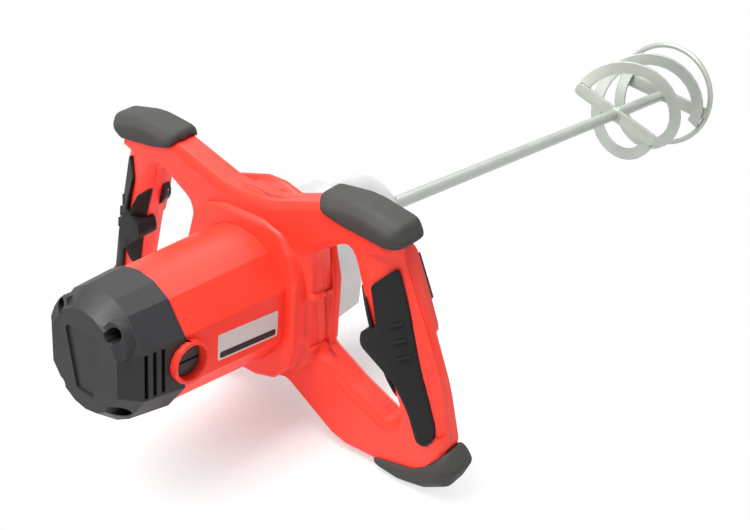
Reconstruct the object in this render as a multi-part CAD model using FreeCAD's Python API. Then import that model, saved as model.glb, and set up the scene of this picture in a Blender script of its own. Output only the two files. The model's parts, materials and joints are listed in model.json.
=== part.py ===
import FreeCAD, Part
import math
import os

Vector = FreeCAD.Vector

# Two-handed mixing drill with a helical stirrer, all sizes in millimetres.
# Every piece is drawn in the tool's own frame: +Y runs along the spindle towards the stirrer,
# +X points to the right-hand grip and +Z is away from the floor, with the spindle axis at X = Z = 0.
# The finished tool is then laid down as it rests: on its two lower bumpers and the stirrer's end ring.

# Stirrer
PADDLE_D = 120.0
RING_BAR_D = 6.0
RING_FLATS = 6
RING_STEPS = 28
RING_Y = 679.0
RIBBON_D = 110.0
RIBBON_W = 13.0
RIBBON_T = 4.0
RIBBON_TURN = 370.0
RIBBON_STEPS = 30
NEAR_BAR_Y = 563.0
NEAR_BAR_ANGLE = 161.0
CROSSBAR_W = 14.0
FAR_BAR_L = 116.0
CROSSBAR_T = 4.0
RING_SEAT = 1.0
ROD_D = 12.0
HEX_AF = 22.0
HEX_T = 9.0
THREAD_D = 14.0
THREAD_L = 24.0

# Flats that stand for round shapes: inner pieces, small screws, the neck, and the chords of rounded corners
ROUND_SIDES = 12
SCREW_SIDES = 8
NECK_SIDES = 28
COLLAR_SIDES = 16
CORNER_STEP = 30.0
CAVITY_STEP = 90.0

# Motor barrel and rear cap
MOTOR_DROP = 24.0
BARREL_W = 92.0
BARREL_H = 102.0
FACET_Z = 19.0
SHOULDER_X = 29.0
SHOULDER_Z = 41.0
BARREL_REAR_Y = -100.0
BARREL_FLARE_Y = -8.0
BARREL_FLARE = 1.08
BARREL_RISE = 3.5
BARREL_FRONT_Y = 24.0
BARREL_BORE_R = 42.0
CROWN_FACETS = 4
CAP_WALL = 3.2
CAP_RIM_SCALE = 1.05
CAP_STEP_Y = -140.0
CAP_STEP_SCALE = 0.98
CAP_REAR_Y = -155.0
CAP_REAR_SCALE = 0.76
CAP_SCREW_X = 28.0
CAP_SCREW_Z = 30.0
CAP_SCREW_D = 4.0
CAP_HEAD_D = 8.0
CAP_HEAD_T = 3.0
CAP_WELL_D = 11.0
CAP_WELL_Y = -126.0
CAP_SCREW_END_Y = -84.0
CAP_SLOT_T = 3.0
CAP_SLOT_PITCH = 7.0
CAP_SLOT_COUNT = 3
CAP_PANEL_DEPTH = 1.6

# Brush gear
BRUSH_Y = -103.0
COLLAR_R = 16.0
COLLAR_BORE_R = 11.5
COLLAR_X = 52.0
COLLAR_GAP = 0.4
BRUSH_CAP_T = 6.0
BRUSH_CAP_RECESS = 3.0
BRUSH_W = 6.0
BRUSH_H = 11.0
BRUSH_L = 18.0
BRUSH_HOLDER_WALL = 1.5
BRUSH_HOLDER_X = 17.5
BRUSH_SPRING_WIRE = 0.9
BRUSH_SPRING_TURNS = 4
BRUSH_SPRING_STEPS = 6
COMMUTATOR_R = 15.0
RISER_STEP = 2.0
BAR_CUT_DEPTH = 0.8
BAR_CUT_W = 0.8
COMMUTATOR_BARS = 10

# Motor
CORE_Y0 = -80.0
CORE_Y1 = -30.0
ARMATURE_R = 26.0
ARMATURE_SLOTS = 10
AIR_GAP = 0.6
STATOR_YOKE = 8.0
POLE_ANGLE = 62.0
SHAFT_R = 6.0
SHAFT_REAR_R = 4.0
WINDING_OVERHANG = 11.0
WINDING_REAR_Y = CORE_Y0 - 8.0
WINDING_FRONT_Y = CORE_Y1 + 6.0
FAN_R = 39.0
FAN_Y0 = -13.0
FAN_Y1 = 1.0
FAN_BLADES = 9
BAFFLE_Y0 = -22.0
BAFFLE_T = 3.0

# Bearings as (bore radius, outer radius, width)
BEARING_608 = (4.0, 11.0, 7.0)
BEARING_626 = (3.0, 9.5, 6.0)
BEARING_6001 = (6.0, 14.0, 8.0)
BEARING_6203 = (8.5, 20.0, 12.0)
RUNNING_GAP = 0.05

# Gear train
STAGE_1_MODULE = 0.9
STAGE_1_PINION = 12
STAGE_1_GEAR = 48
STAGE_2_MODULE = 1.5
STAGE_2_PINION = 12
STAGE_2_GEAR = 36
ADDENDUM = 0.75
DEDENDUM = 1.0
BACKLASH = 0.14
PRESSURE_ANGLE = 20.0
GEAR_1_Y0 = 35.0
GEAR_1_T = 7.0
GEAR_2_Y0 = 45.0
GEAR_2_T = 13.0
GEAR_ROOM = 1.5

# Gear housing
PLATE_T = 9.0
FLANGE_T = 12.0
FLANGE_W = 116.0
FLANGE_TOP = 44.0
FLANGE_BOTTOM = -80.0
FLANGE_CORNER = 34.0
NOSE_INSET = 3.0
NOSE_SHOULDER_Y = 74.0
NOSE_END_W = 80.0
NOSE_END_CORNER = 24.0
NOSE_END_Y = 92.0
NECK_R = 35.0
NECK_FRONT_Y = 143.0
NECK_TIP_R = 25.0
NECK_TIP_Y = 154.0
SPINDLE_R = 8.5
SPINDLE_ROOM = 1.5
HEAD_ROOM = 3.0
SPINDLE_NOSE_R = 10.5
SPINDLE_END_Y = 162.0
FRONT_BEARING_Y = 112.0
SEAL_Y = 134.0
SEAL_T = 8.0
CIRCLIP_T = 1.6
GEAR_SCREWS = [(38.0, 28.0), (30.0, -35.0)]
GEAR_SCREW_SEAT_Y = 62.0
GEAR_SCREW_D = 5.0
GEAR_SCREW_HEAD_D = 9.0
GEAR_SCREW_HEAD_T = 4.0
GEAR_SCREW_END_Y = 6.0

# Handle frame: outlines in the frame's own plane as (across, up, corner radius)
FRAME_TILT = 8.0
FRAME_Y = 15.0
FRAME_T = 28.0
FRAME_EDGE = 6.0
FRAME_WALL = 4.0
FRAME_OUTLINE = [
    (22.0, 61.0, 40.0),
    (84.0, 82.0, 12.0),
    (116.0, 86.0, 14.0),
    (139.0, 70.0, 16.0),
    (156.0, 23.0, 90.0),
    (178.0, -43.0, 90.0),
    (187.0, -92.0, 16.0),
    (170.0, -125.0, 16.0),
    (130.0, -131.0, 14.0),
    (84.0, -133.0, 26.0),
    (24.0, -92.0, 40.0),
]
GRIP_OPENING = [
    (65.0, 33.0, 8.0),
    (92.0, 51.0, 9.0),
    (103.0, 53.0, 7.0),
    (111.0, 28.0, 30.0),
    (124.0, -5.0, 60.0),
    (143.0, -60.0, 20.0),
    (145.0, -82.0, 8.0),
    (134.0, -89.0, 8.0),
    (98.0, -72.0, 30.0),
    (65.0, -52.0, 9.0),
]
GRIP_BULGE = [
    (112.0, 58.0, 10.0),
    (139.0, 58.0, 10.0),
    (153.0, 20.0, 60.0),
    (164.0, -14.0, 10.0),
    (133.0, -14.0, 8.0),
    (118.0, 22.0, 60.0),
]
GRIP_BULGE_T = 8.0
GRIP_FLAT = 15.0
GRIP_SLOPE = 30.0
GRIP_SLOPE_W = -15.0
GRIP_SLOPE_L = 150.0
GRIP_SLOPE_RUN = 12.0
GRIP_INSERT = [
    (141.0, 49.0, 3.0),
    (148.0, 27.0, 40.0),
    (164.0, -30.0, 60.0),
    (177.0, -72.0, 20.0),
    (178.0, -84.0, 5.0),
    (166.0, -88.0, 5.0),
    (158.0, -62.0, 30.0),
    (148.0, -38.0, 10.0),
    (133.0, -26.0, 10.0),
    (119.0, -16.0, 7.0),
    (120.0, -4.0, 6.0),
    (134.0, 5.0, 5.0),
    (126.0, 34.0, 3.0),
]
GRIP_INSERT_PROUD = 3.0
GRIP_INSERT_WRAP = 10.0
TOP_BUMPER = [
    (77.0, 72.0, 0.0),
    (81.0, 86.0, 0.0),
    (112.0, 90.0, 30.0),
    (144.0, 83.0, 0.0),
    (149.0, 72.0, 0.0),
    (136.0, 62.0, 0.0),
    (100.0, 66.0, 0.0),
]
BOTTOM_BUMPER = [
    (119.0, -121.0, 0.0),
    (127.0, -134.0, 0.0),
    (160.0, -137.5, 30.0),
    (188.0, -119.0, 0.0),
    (195.0, -102.0, 0.0),
    (186.0, -91.0, 0.0),
    (160.0, -110.0, 0.0),
]
BUMPER_T = 32.0
BUMPER_EDGE = 7.0
FOOT_DEPTH = 136.0

# Centre of the handle frame
COLLAR_W = 118.0
COLLAR_TOP = 46.0
COLLAR_BOTTOM = -87.0
COLLAR_CORNER = 40.0
COLLAR_REAR_Y = -10.0
COLLAR_EDGE = 3.0
DRUM_W = 134.0
DRUM_TOP = 61.0
DRUM_BOTTOM = -88.0
DRUM_CROWN_R = 60.0
DRUM_CORNER = 44.0
DRUM_REAR_Y = 2.0
DRUM_FRONT_Y = 30.0
DRUM_LIP = 2.0
DRUM_LIP_T = 6.0
FLANGE_ROOM = 0.5
PANEL_DEPTH = 3.0
PANEL_TOP = 30.0
PANEL_RIB_Z = -6.0
PANEL_RIB_T = 4.0
PANEL_BOTTOM = -48.0
PANEL_Y0 = 1.0
PANEL_Y1 = 23.0

# Handle screws, driven from the stirrer side into bosses at (across, up)
HANDLE_BOSSES = [(98.0, 67.0), (158.0, -95.0), (96.0, -98.0)]
BOSS_R = 5.0
HANDLE_SCREW_D = 4.0
HANDLE_HEAD_D = 8.0
HANDLE_HEAD_ROOM = 0.8
HANDLE_HEAD_T = 3.0
HANDLE_SEAT_V = 8.0
HANDLE_SCREW_L = 16.0

# Trigger, lock-on button and speed dial
GRIP_SPLAY = 20.5
TRIGGER_U = 134.0
TRIGGER_W = 24.0
TRIGGER_LENGTH = 36.0
TRIGGER_WIDTH = 14.0
TRIGGER_PROUD = 8.0
TRIGGER_LIP = 1.2
TRIGGER_LIP_T = 3.0
TRIGGER_TRAVEL = 5.0
TRIGGER_GAP = 0.4
TRIGGER_HOLLOW_R = 60.0
TRIGGER_EDGE = 2.5
STEM_R = 3.0
STEM_GAP = 0.3
STEM_REACH = 3.0
SWITCH_WIDTH = 14.0
SWITCH_LENGTH = 52.0
SWITCH_DEPTH = 17.5
SEAT_GAP = 0.3
BUTTON_R = 4.0
BUTTON_W = 30.0
BUTTON_V = 5.0
BUTTON_BORE = 20.0
BUTTON_PROUD = 4.0
BUTTON_GAP = 0.3
BUTTON_HEAD_R = 5.0
BUTTON_HEAD_T = 2.0
DIAL_R = 15.0
DIAL_T = 7.0
DIAL_W = 20.0
DIAL_V = 5.0
DIAL_PROUD = 3.5
DIAL_FLATS = 20
DIAL_GAP = 0.6
DIAL_SHAFT_L = 8.0
CONTROL_WIDTH = 20.0
CONTROL_LENGTH = 40.0
CONTROL_DEPTH = 9.5
CONTROL_ROOM = 1.5

# Cable inlet on the left lower arm
INLET_U = -112.0
INLET_W = -104.0
INLET_R = 9.0
INLET_TIP_R = 6.5
INLET_L = 16.0
INLET_BORE_R = 4.0
INLET_NECK_R = 6.0

MOTOR_Z = -MOTOR_DROP
RING_R = (PADDLE_D - RING_BAR_D) / 2
RIBBON_OUT_R = RIBBON_D / 2
RIBBON_IN_R = RIBBON_OUT_R - RIBBON_W
FAR_BAR_Y = RING_Y - RING_BAR_D / 2 + RING_SEAT - CROSSBAR_T / 2
FAR_BAR_ANGLE = NEAR_BAR_ANGLE + RIBBON_TURN
STAGE_1_CENTRES = STAGE_1_MODULE * (STAGE_1_PINION + STAGE_1_GEAR) / 2
STAGE_2_CENTRES = STAGE_2_MODULE * (STAGE_2_PINION + STAGE_2_GEAR) / 2
LAY_Z = (STAGE_1_CENTRES ** 2 - STAGE_2_CENTRES ** 2 - MOTOR_DROP ** 2) / (2 * MOTOR_DROP)
LAY_X = math.sqrt(STAGE_2_CENTRES ** 2 - LAY_Z ** 2)
PLATE_FRONT_Y = BARREL_FRONT_Y + PLATE_T
FLANGE_Y = DRUM_FRONT_Y
NOSE_Y = FLANGE_Y + FLANGE_T
NOSE_WALL_Y = GEAR_2_Y0 + GEAR_2_T + GEAR_ROOM
COMMUTATOR_Y0 = BRUSH_Y - BRUSH_H / 2 - 3.0
COMMUTATOR_Y1 = BRUSH_Y + BRUSH_H / 2 + 3.0
REAR_BEARING_Y = CAP_STEP_Y
INNER_V = FRAME_T / 2 - FRAME_WALL
BULGE_V = FRAME_T / 2 + GRIP_BULGE_T
FLATNESS = 1e-6


def rounded_points(points, step=CORNER_STEP):
    """Corners of an outline given as (x, z, radius), with each round corner as chords of about one step."""
    outline = []
    count = len(points)
    for i, (x, z, radius) in enumerate(points):
        corner = Vector(x, 0, z)
        if radius == 0:
            outline.append(corner)
            continue
        before = Vector(points[i - 1][0], 0, points[i - 1][1]) - corner
        after = Vector(points[(i + 1) % count][0], 0, points[(i + 1) % count][1]) - corner
        before.normalize()
        after.normalize()
        half = before.getAngle(after) / 2
        middle = before + after
        middle.normalize()
        centre = corner + middle * (radius / math.sin(half))
        start = corner + before * (radius / math.tan(half)) - centre
        end = corner + after * (radius / math.tan(half)) - centre
        turn = math.pi - 2 * half
        chords = max(1, round(math.degrees(turn) / step))
        for k in range(chords + 1):
            share = k / chords
            arm = start * math.sin((1 - share) * turn) + end * math.sin(share * turn)
            outline.append(centre + arm / math.sin(turn))
    return outline


def polygon(points):
    return Part.makePolygon(points + points[:1])


def sharp_points(points):
    """Corners of such an outline with none of them rounded."""
    return [Vector(x, 0, z) for x, z, radius in points]


def inset(corners, distance):
    """Outline in the plane Y = 0 with every side moved inwards, or outwards by a negative distance."""
    area = sum(a.x * b.z - b.x * a.z for a, b in zip(corners, corners[1:] + corners[:1]))
    inwards = 1.0 if area > 0 else -1.0
    sides = []
    for a, b in zip(corners, corners[1:] + corners[:1]):
        side = b - a
        side.normalize()
        sides.append(Vector(-side.z, 0, side.x) * inwards)
    return [corner + (sides[i - 1] + sides[i]) * (distance / (1 + sides[i - 1].dot(sides[i])))
            for i, corner in enumerate(corners)]


def at_depth(corners, y):
    return [Vector(corner.x, y, corner.z) for corner in corners]


def flat_loft(rings, closed=False):
    """Flat-faced solid through rings of equally many corners; a closed one joins the last to the first."""
    pairs = list(zip(rings, rings[1:]))
    faces = []
    if closed:
        pairs.append((rings[-1], rings[0]))
    else:
        faces += [Part.Face(polygon(rings[0])), Part.Face(polygon(rings[-1]))]
    for lower, upper in pairs:
        for i in range(len(lower)):
            j = (i + 1) % len(lower)
            a, b, c, d = lower[i], lower[j], upper[j], upper[i]
            normal = (b - a).cross(c - a)
            if abs(normal.dot(d - a)) < FLATNESS * normal.Length:
                faces.append(Part.Face(polygon([a, b, c, d])))
            else:
                faces += [Part.Face(polygon([a, b, c])), Part.Face(polygon([a, c, d]))]
    shell = Part.makeShell(faces)
    shell.sewShape()
    solid = Part.makeSolid(shell)
    if solid.Volume < 0:
        solid.reverse()
    return solid


def mirrored(points):
    """The left-hand copy of an outline, listed so that it still runs the same way round."""
    return [(-x, z, radius) for x, z, radius in reversed(points)]


def end_edges(solid, y):
    """Edges that lie wholly in the plane Y = y."""
    flat = []
    for edge in solid.Edges:
        box = edge.BoundBox
        if abs(box.YMin - y) < 1e-6 and abs(box.YMax - y) < 1e-6:
            flat.append(edge)
    return flat


def straight_prism(corners, y0, y1):
    return flat_loft([at_depth(corners, y0), at_depth(corners, y1)])


def soft_prism(corners, y0, y1, size):
    """Prism whose two end faces have bevelled rims."""
    rim = inset(corners, size)
    return flat_loft([
        at_depth(rim, y0),
        at_depth(corners, y0 + size),
        at_depth(corners, y1 - size),
        at_depth(rim, y1),
    ])


def cylinder(radius, y0, y1, x=0.0, z=0.0):
    return Part.makeCylinder(radius, y1 - y0, Vector(x, y0, z), Vector(0, 1, 0))


def round_points(radius, y, x=0.0, z=0.0, sides=ROUND_SIDES):
    """Corners of a many-sided ring about the Y direction, on the radius."""
    turns = [2 * math.pi * i / sides for i in range(sides)]
    return [Vector(x + radius * math.cos(t), y, z + radius * math.sin(t)) for t in turns]


def round_bar(radius, y0, y1, x=0.0, z=0.0, sides=ROUND_SIDES):
    return Part.Face(polygon(round_points(radius, y0, x, z, sides))).extrude(Vector(0, y1 - y0, 0))


def round_hole(radius, y0, y1, x=0.0, z=0.0, sides=ROUND_SIDES):
    """Cutter whose flats touch the radius, so that a bar of that radius fits it."""
    return round_bar(radius / math.cos(math.pi / sides), y0, y1, x, z, sides)


def screw_hole(diameter, y0, y1, x, z):
    return round_hole(diameter / 2, y0, y1, x, z, SCREW_SIDES)


def round_tube(inner, outer, y0, y1, x=0.0, z=0.0):
    return round_bar(outer, y0, y1, x, z).cut(round_hole(inner, y0, y1, x, z))


def wound_strip(inner, outer, thickness, length, turn, steps):
    """Flat strip wound on edge about the Y axis from Y = 0 to Y = length, through a turn in degrees."""
    half = thickness / 2
    rings = []
    for i in range(steps + 1):
        angle = math.radians(turn * i / steps)
        y = length * i / steps
        across = Vector(math.cos(angle), 0, -math.sin(angle))
        rings.append([across * r + Vector(0, y + dy, 0) for r, dy in (
            (inner, -half), (outer, -half), (outer, half), (inner, half))])
    return flat_loft(rings)


def cross_bar(shaped, radius, x0, x1, y, z, sides=ROUND_SIDES):
    """A many-sided bar, or the hole for one, along X instead of Y."""
    bar = shaped(radius, x0, x1, 0, 0, sides)
    bar.rotate(Vector(0, 0, 0), Vector(0, 0, 1), -90)
    bar.translate(Vector(0, y, z))
    return bar


def cross_cylinder(radius, x0, x1, y, z):
    return Part.makeCylinder(radius, x1 - x0, Vector(x0, y, z), Vector(1, 0, 0))


def box(x0, x1, y0, y1, z0, z1):
    return Part.makeBox(x1 - x0, y1 - y0, z1 - z0, Vector(x0, y0, z0))


def fused(shapes):
    whole = shapes[0].multiFuse(shapes[1:]) if len(shapes) > 1 else shapes[0]
    return whole.removeSplitter()


def four_corners(x, z, middle):
    return [(sx * x, middle + sz * z) for sx in (-1, 1) for sz in (-1, 1)]


def in_frame(shape):
    """Moves a shape drawn in the handle frame's plane to its place on the tool."""
    turned = shape.copy()
    turned.rotate(Vector(0, 0, 0), Vector(1, 0, 0), FRAME_TILT)
    turned.translate(Vector(0, FRAME_Y, 0))
    return turned


def barrel_ring(scale, y, rise=0.0):
    """Faceted motor section: flat sides, sloped shoulders and crowned top and bottom."""
    side = BARREL_W / 2 * scale
    facet = FACET_Z * scale
    shoulder_x = SHOULDER_X * scale
    shoulder_z = SHOULDER_Z * scale
    crown = BARREL_H / 2 * scale
    rise_of_arc = crown - shoulder_z
    arc_r = (shoulder_x ** 2 + rise_of_arc ** 2) / (2 * rise_of_arc)
    half_turn = math.asin(shoulder_x / arc_r)
    top = []
    for i in range(CROWN_FACETS + 1):
        angle = half_turn * (1 - 2 * i / CROWN_FACETS)
        top.append((arc_r * math.sin(angle), crown - arc_r + arc_r * math.cos(angle)))
    upper = [(side, facet)] + top + [(-side, facet)]
    lower = [(-x, -z) for x, z in upper]
    return [Vector(x, y, MOTOR_Z + rise + z) for x, z in upper + lower]


def barrel_loft(stations):
    """Solid through faceted sections given as (scale, y) or (scale, y, rise)."""
    return flat_loft([barrel_ring(*station) for station in stations])


def barrel_stations(front_y):
    """The barrel's outside: it flares and rises towards the frame, then runs straight inside it."""
    return [
        (1.0, BARREL_REAR_Y),
        (BARREL_FLARE, BARREL_FLARE_Y, BARREL_RISE),
        (BARREL_FLARE, front_y, BARREL_RISE),
    ]


def brush_collar(x0, x1, radius):
    right = cross_bar(round_hole, radius, x0, x1, BRUSH_Y, MOTOR_Z, COLLAR_SIDES)
    left = cross_bar(round_hole, radius, -x1, -x0, BRUSH_Y, MOTOR_Z, COLLAR_SIDES)
    return right, left


def motor_housing():
    shell = barrel_loft(barrel_stations(BARREL_FRONT_Y))
    collars = brush_collar(BARREL_BORE_R - 8.0, COLLAR_X, COLLAR_R)
    bosses = [round_bar(6.0, BARREL_REAR_Y, CORE_Y0, x, z)
              for x, z in four_corners(CAP_SCREW_X, CAP_SCREW_Z, MOTOR_Z)]
    outer = fused([shell] + list(collars))
    hollow = outer.cut(round_hole(BARREL_BORE_R, BARREL_REAR_Y - 30.0, BARREL_FRONT_Y, 0, MOTOR_Z))
    hollow = fused([hollow] + [boss.common(shell) for boss in bosses])
    for opening in brush_collar(0.0, COLLAR_X, COLLAR_BORE_R):
        hollow = hollow.cut(opening)
    for x, z in four_corners(CAP_SCREW_X, CAP_SCREW_Z, MOTOR_Z):
        hollow = hollow.cut(screw_hole(CAP_SCREW_D, BARREL_REAR_Y - 1.0, CAP_SCREW_END_Y, x, z))
    for x, z in gear_screw_places():
        hollow = hollow.cut(screw_hole(GEAR_SCREW_D, GEAR_SCREW_END_Y, BARREL_FRONT_Y, x, z))
    return hollow


def rear_cap():
    stations = [(CAP_RIM_SCALE, BARREL_REAR_Y), (CAP_STEP_SCALE, CAP_STEP_Y), (CAP_REAR_SCALE, CAP_REAR_Y)]
    outer = barrel_loft(stations)
    thin = 1.0 - 2 * CAP_WALL / BARREL_W
    inner = barrel_loft([
        (CAP_RIM_SCALE * thin, BARREL_REAR_Y),
        (CAP_STEP_SCALE * thin, CAP_STEP_Y),
        (CAP_REAR_SCALE * thin, CAP_REAR_Y + CAP_WALL),
    ])
    hub_end = REAR_BEARING_Y + BEARING_608[2]
    hub = round_bar(BEARING_608[1] + CAP_WALL, CAP_REAR_Y + CAP_WALL, hub_end, 0, MOTOR_Z)
    wells = [round_bar(CAP_WELL_D / 2 + 2.0, CAP_REAR_Y, BARREL_REAR_Y, x, z).common(outer)
             for x, z in four_corners(CAP_SCREW_X, CAP_SCREW_Z, MOTOR_Z)]
    cap = fused([outer.cut(inner), hub] + wells)
    cap = cap.cut(round_hole(BEARING_608[1], REAR_BEARING_Y, hub_end, 0, MOTOR_Z))
    cap = cap.cut(round_hole(SHAFT_REAR_R + 1.0, REAR_BEARING_Y - 4.0, REAR_BEARING_Y, 0, MOTOR_Z))
    for x, z in four_corners(CAP_SCREW_X, CAP_SCREW_Z, MOTOR_Z):
        cap = cap.cut(round_hole(CAP_WELL_D / 2, CAP_REAR_Y - 1.0, CAP_WELL_Y, x, z))
        cap = cap.cut(screw_hole(CAP_SCREW_D, CAP_WELL_Y, BARREL_REAR_Y, x, z))
    for scallop in brush_collar(0.0, COLLAR_X, COLLAR_R + COLLAR_GAP):
        cap = cap.cut(scallop)
    cap = cap.cut(cap_side_slots())
    return cap.cut(cap_panel())


def cap_side_slots():
    """Upright cooling slots through both flat sides, behind the brush collars."""
    first = BRUSH_Y - COLLAR_R - CAP_SLOT_T - 1.0
    slots = []
    for i in range(CAP_SLOT_COUNT):
        y = first - i * CAP_SLOT_PITCH
        for side in (-1, 1):
            x0, x1 = sorted((side * BARREL_W * 0.3, side * BARREL_W))
            slots.append(box(x0, x1, y - CAP_SLOT_T, y, MOTOR_Z - FACET_Z + 2.0, MOTOR_Z + FACET_Z - 2.0))
    return Part.makeCompound(slots)


def cap_panel():
    """Shallow tapered panel sunk into the middle of the rear face."""
    outline = rounded_points([
        (-9.0, -26.0, 3.0),
        (-20.0, 22.0, 4.0),
        (20.0, 22.0, 4.0),
        (9.0, -26.0, 3.0),
    ])
    panel = straight_prism(outline, CAP_REAR_Y - 1.0, CAP_REAR_Y + CAP_PANEL_DEPTH)
    panel.translate(Vector(0, 0, MOTOR_Z))
    return panel


def screw(length, shank_d, head_d, head_t, x, head_y, z, towards):
    """Round-headed screw along Y, with its shank running towards +Y or -Y from the head's seat."""
    end = head_y + towards * length
    shank = round_bar(shank_d / 2, min(head_y, end), max(head_y, end), x, z, SCREW_SIDES)
    back = head_y - towards * head_t
    head = round_bar(head_d / 2, min(head_y, back), max(head_y, back), x, z, SCREW_SIDES)
    return fused([shank, head])


def rear_cap_screws():
    length = CAP_SCREW_END_Y - CAP_WELL_Y
    return Part.makeCompound([
        screw(length, CAP_SCREW_D, CAP_HEAD_D, CAP_HEAD_T, x, CAP_WELL_Y, z, 1)
        for x, z in four_corners(CAP_SCREW_X, CAP_SCREW_Z, MOTOR_Z)
    ])


def on_side(shape, side):
    """A right-hand piece, or its copy on the left."""
    return shape if side > 0 else shape.mirror(Vector(0, 0, 0), Vector(1, 0, 0))


def brush_cap(side):
    x1 = COLLAR_X - BRUSH_CAP_RECESS
    plug = cross_bar(round_bar, COLLAR_BORE_R, x1 - BRUSH_CAP_T, x1, BRUSH_Y, MOTOR_Z)
    slot = box(x1 - 2.0, x1, BRUSH_Y - COLLAR_BORE_R, BRUSH_Y + COLLAR_BORE_R, MOTOR_Z - 1.0, MOTOR_Z + 1.0)
    return on_side(plug.cut(slot), side)


def brush_holder(side):
    x1 = COLLAR_X - BRUSH_CAP_RECESS - BRUSH_CAP_T
    wall = BRUSH_HOLDER_WALL
    tube = box(BRUSH_HOLDER_X, x1, BRUSH_Y - BRUSH_H / 2 - wall, BRUSH_Y + BRUSH_H / 2 + wall,
               MOTOR_Z - BRUSH_W / 2 - wall, MOTOR_Z + BRUSH_W / 2 + wall)
    flange = cross_bar(round_bar, COLLAR_BORE_R, x1 - 4.0, x1, BRUSH_Y, MOTOR_Z)
    bore = box(0.0, x1 + 1.0, BRUSH_Y - BRUSH_H / 2, BRUSH_Y + BRUSH_H / 2,
               MOTOR_Z - BRUSH_W / 2, MOTOR_Z + BRUSH_W / 2)
    return on_side(fused([tube, flange]).cut(bore), side)


def carbon_brush(side):
    block = box(COMMUTATOR_R - 2.0, COMMUTATOR_R + BRUSH_L, BRUSH_Y - BRUSH_H / 2, BRUSH_Y + BRUSH_H / 2,
                MOTOR_Z - BRUSH_W / 2, MOTOR_Z + BRUSH_W / 2)
    drum_room = cylinder(COMMUTATOR_R + RUNNING_GAP, BRUSH_Y - BRUSH_H, BRUSH_Y + BRUSH_H, 0, MOTOR_Z)
    return on_side(block.cut(drum_room), side)


def brush_spring(side):
    """Square-wire coil between the brush and its cap."""
    x0 = COMMUTATOR_R + BRUSH_L
    x1 = COLLAR_X - BRUSH_CAP_RECESS - BRUSH_CAP_T
    outer = BRUSH_W / 2 - BRUSH_SPRING_WIRE / 2
    coil = wound_strip(outer - BRUSH_SPRING_WIRE, outer, BRUSH_SPRING_WIRE, x1 - x0 - BRUSH_SPRING_WIRE,
                       BRUSH_SPRING_TURNS * 360.0, BRUSH_SPRING_TURNS * BRUSH_SPRING_STEPS)
    coil.rotate(Vector(0, 0, 0), Vector(0, 0, 1), -90)
    coil.translate(Vector(x0 + BRUSH_SPRING_WIRE / 2, BRUSH_Y, MOTOR_Z))
    return on_side(coil, side)


def stator_core():
    """Laminated field ring with two pole shoes, above and below the armature."""
    inner = BARREL_BORE_R - STATOR_YOKE
    bore = ARMATURE_R + AIR_GAP
    ring = round_tube(inner, BARREL_BORE_R, CORE_Y0, CORE_Y1, 0, MOTOR_Z)
    poles = round_tube(bore, inner + STATOR_YOKE / 2, CORE_Y0, CORE_Y1, 0, MOTOR_Z)
    reach = BARREL_BORE_R * 2
    spread = reach * math.tan(math.radians(POLE_ANGLE / 2))
    wedge = Part.Face(Part.makePolygon([
        Vector(0, CORE_Y0, MOTOR_Z),
        Vector(spread, CORE_Y0, MOTOR_Z + reach),
        Vector(-spread, CORE_Y0, MOTOR_Z + reach),
        Vector(0, CORE_Y0, MOTOR_Z),
    ])).extrude(Vector(0, CORE_Y1 - CORE_Y0, 0))
    lower = wedge.mirror(Vector(0, 0, MOTOR_Z), Vector(0, 0, 1))
    return fused([ring, poles.common(wedge), poles.common(lower)])


def field_coils():
    """Two saddle coils, one round each pole shoe."""
    inner = ARMATURE_R + AIR_GAP + 1.5
    outer = BARREL_BORE_R - STATOR_YOKE
    y0 = CORE_Y0 - WINDING_OVERHANG
    y1 = CORE_Y1 + WINDING_OVERHANG - 4.0
    ring = round_tube(inner, outer, y0, y1, 0, MOTOR_Z)
    upper = ring.common(box(-60, 60, y0, y1, MOTOR_Z + 2.0, MOTOR_Z + 60))
    pole = stator_core()
    upper = upper.cut(pole)
    lower = upper.mirror(Vector(0, 0, MOTOR_Z), Vector(0, 0, 1))
    return Part.makeCompound([upper, lower])


def armature_shaft():
    """Motor shaft with the first-stage pinion cut on its front end."""
    rear = round_bar(SHAFT_REAR_R, REAR_BEARING_Y, COMMUTATOR_Y0 - 4.0, 0, MOTOR_Z)
    middle = round_bar(SHAFT_R, COMMUTATOR_Y0 - 4.0, PLATE_FRONT_Y, 0, MOTOR_Z)
    angle = math.degrees(math.atan2(LAY_Z - MOTOR_Z, LAY_X))
    teeth = spur_gear(STAGE_1_PINION, STAGE_1_MODULE, PLATE_FRONT_Y, GEAR_1_Y0 + GEAR_1_T, angle)
    teeth.translate(Vector(0, 0, MOTOR_Z))
    return fused([rear, middle, teeth])


def armature_core():
    core = round_tube(SHAFT_R, ARMATURE_R, CORE_Y0, CORE_Y1, 0, MOTOR_Z)
    slots = []
    for i in range(ARMATURE_SLOTS):
        slot = box(ARMATURE_R * 0.62, ARMATURE_R + 1.0, CORE_Y0, CORE_Y1, MOTOR_Z - 2.0, MOTOR_Z + 2.0)
        slot.rotate(Vector(0, 0, MOTOR_Z), Vector(0, 1, 0), i * 360.0 / ARMATURE_SLOTS)
        slots.append(slot)
    return core.cut(Part.makeCompound(slots))


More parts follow.
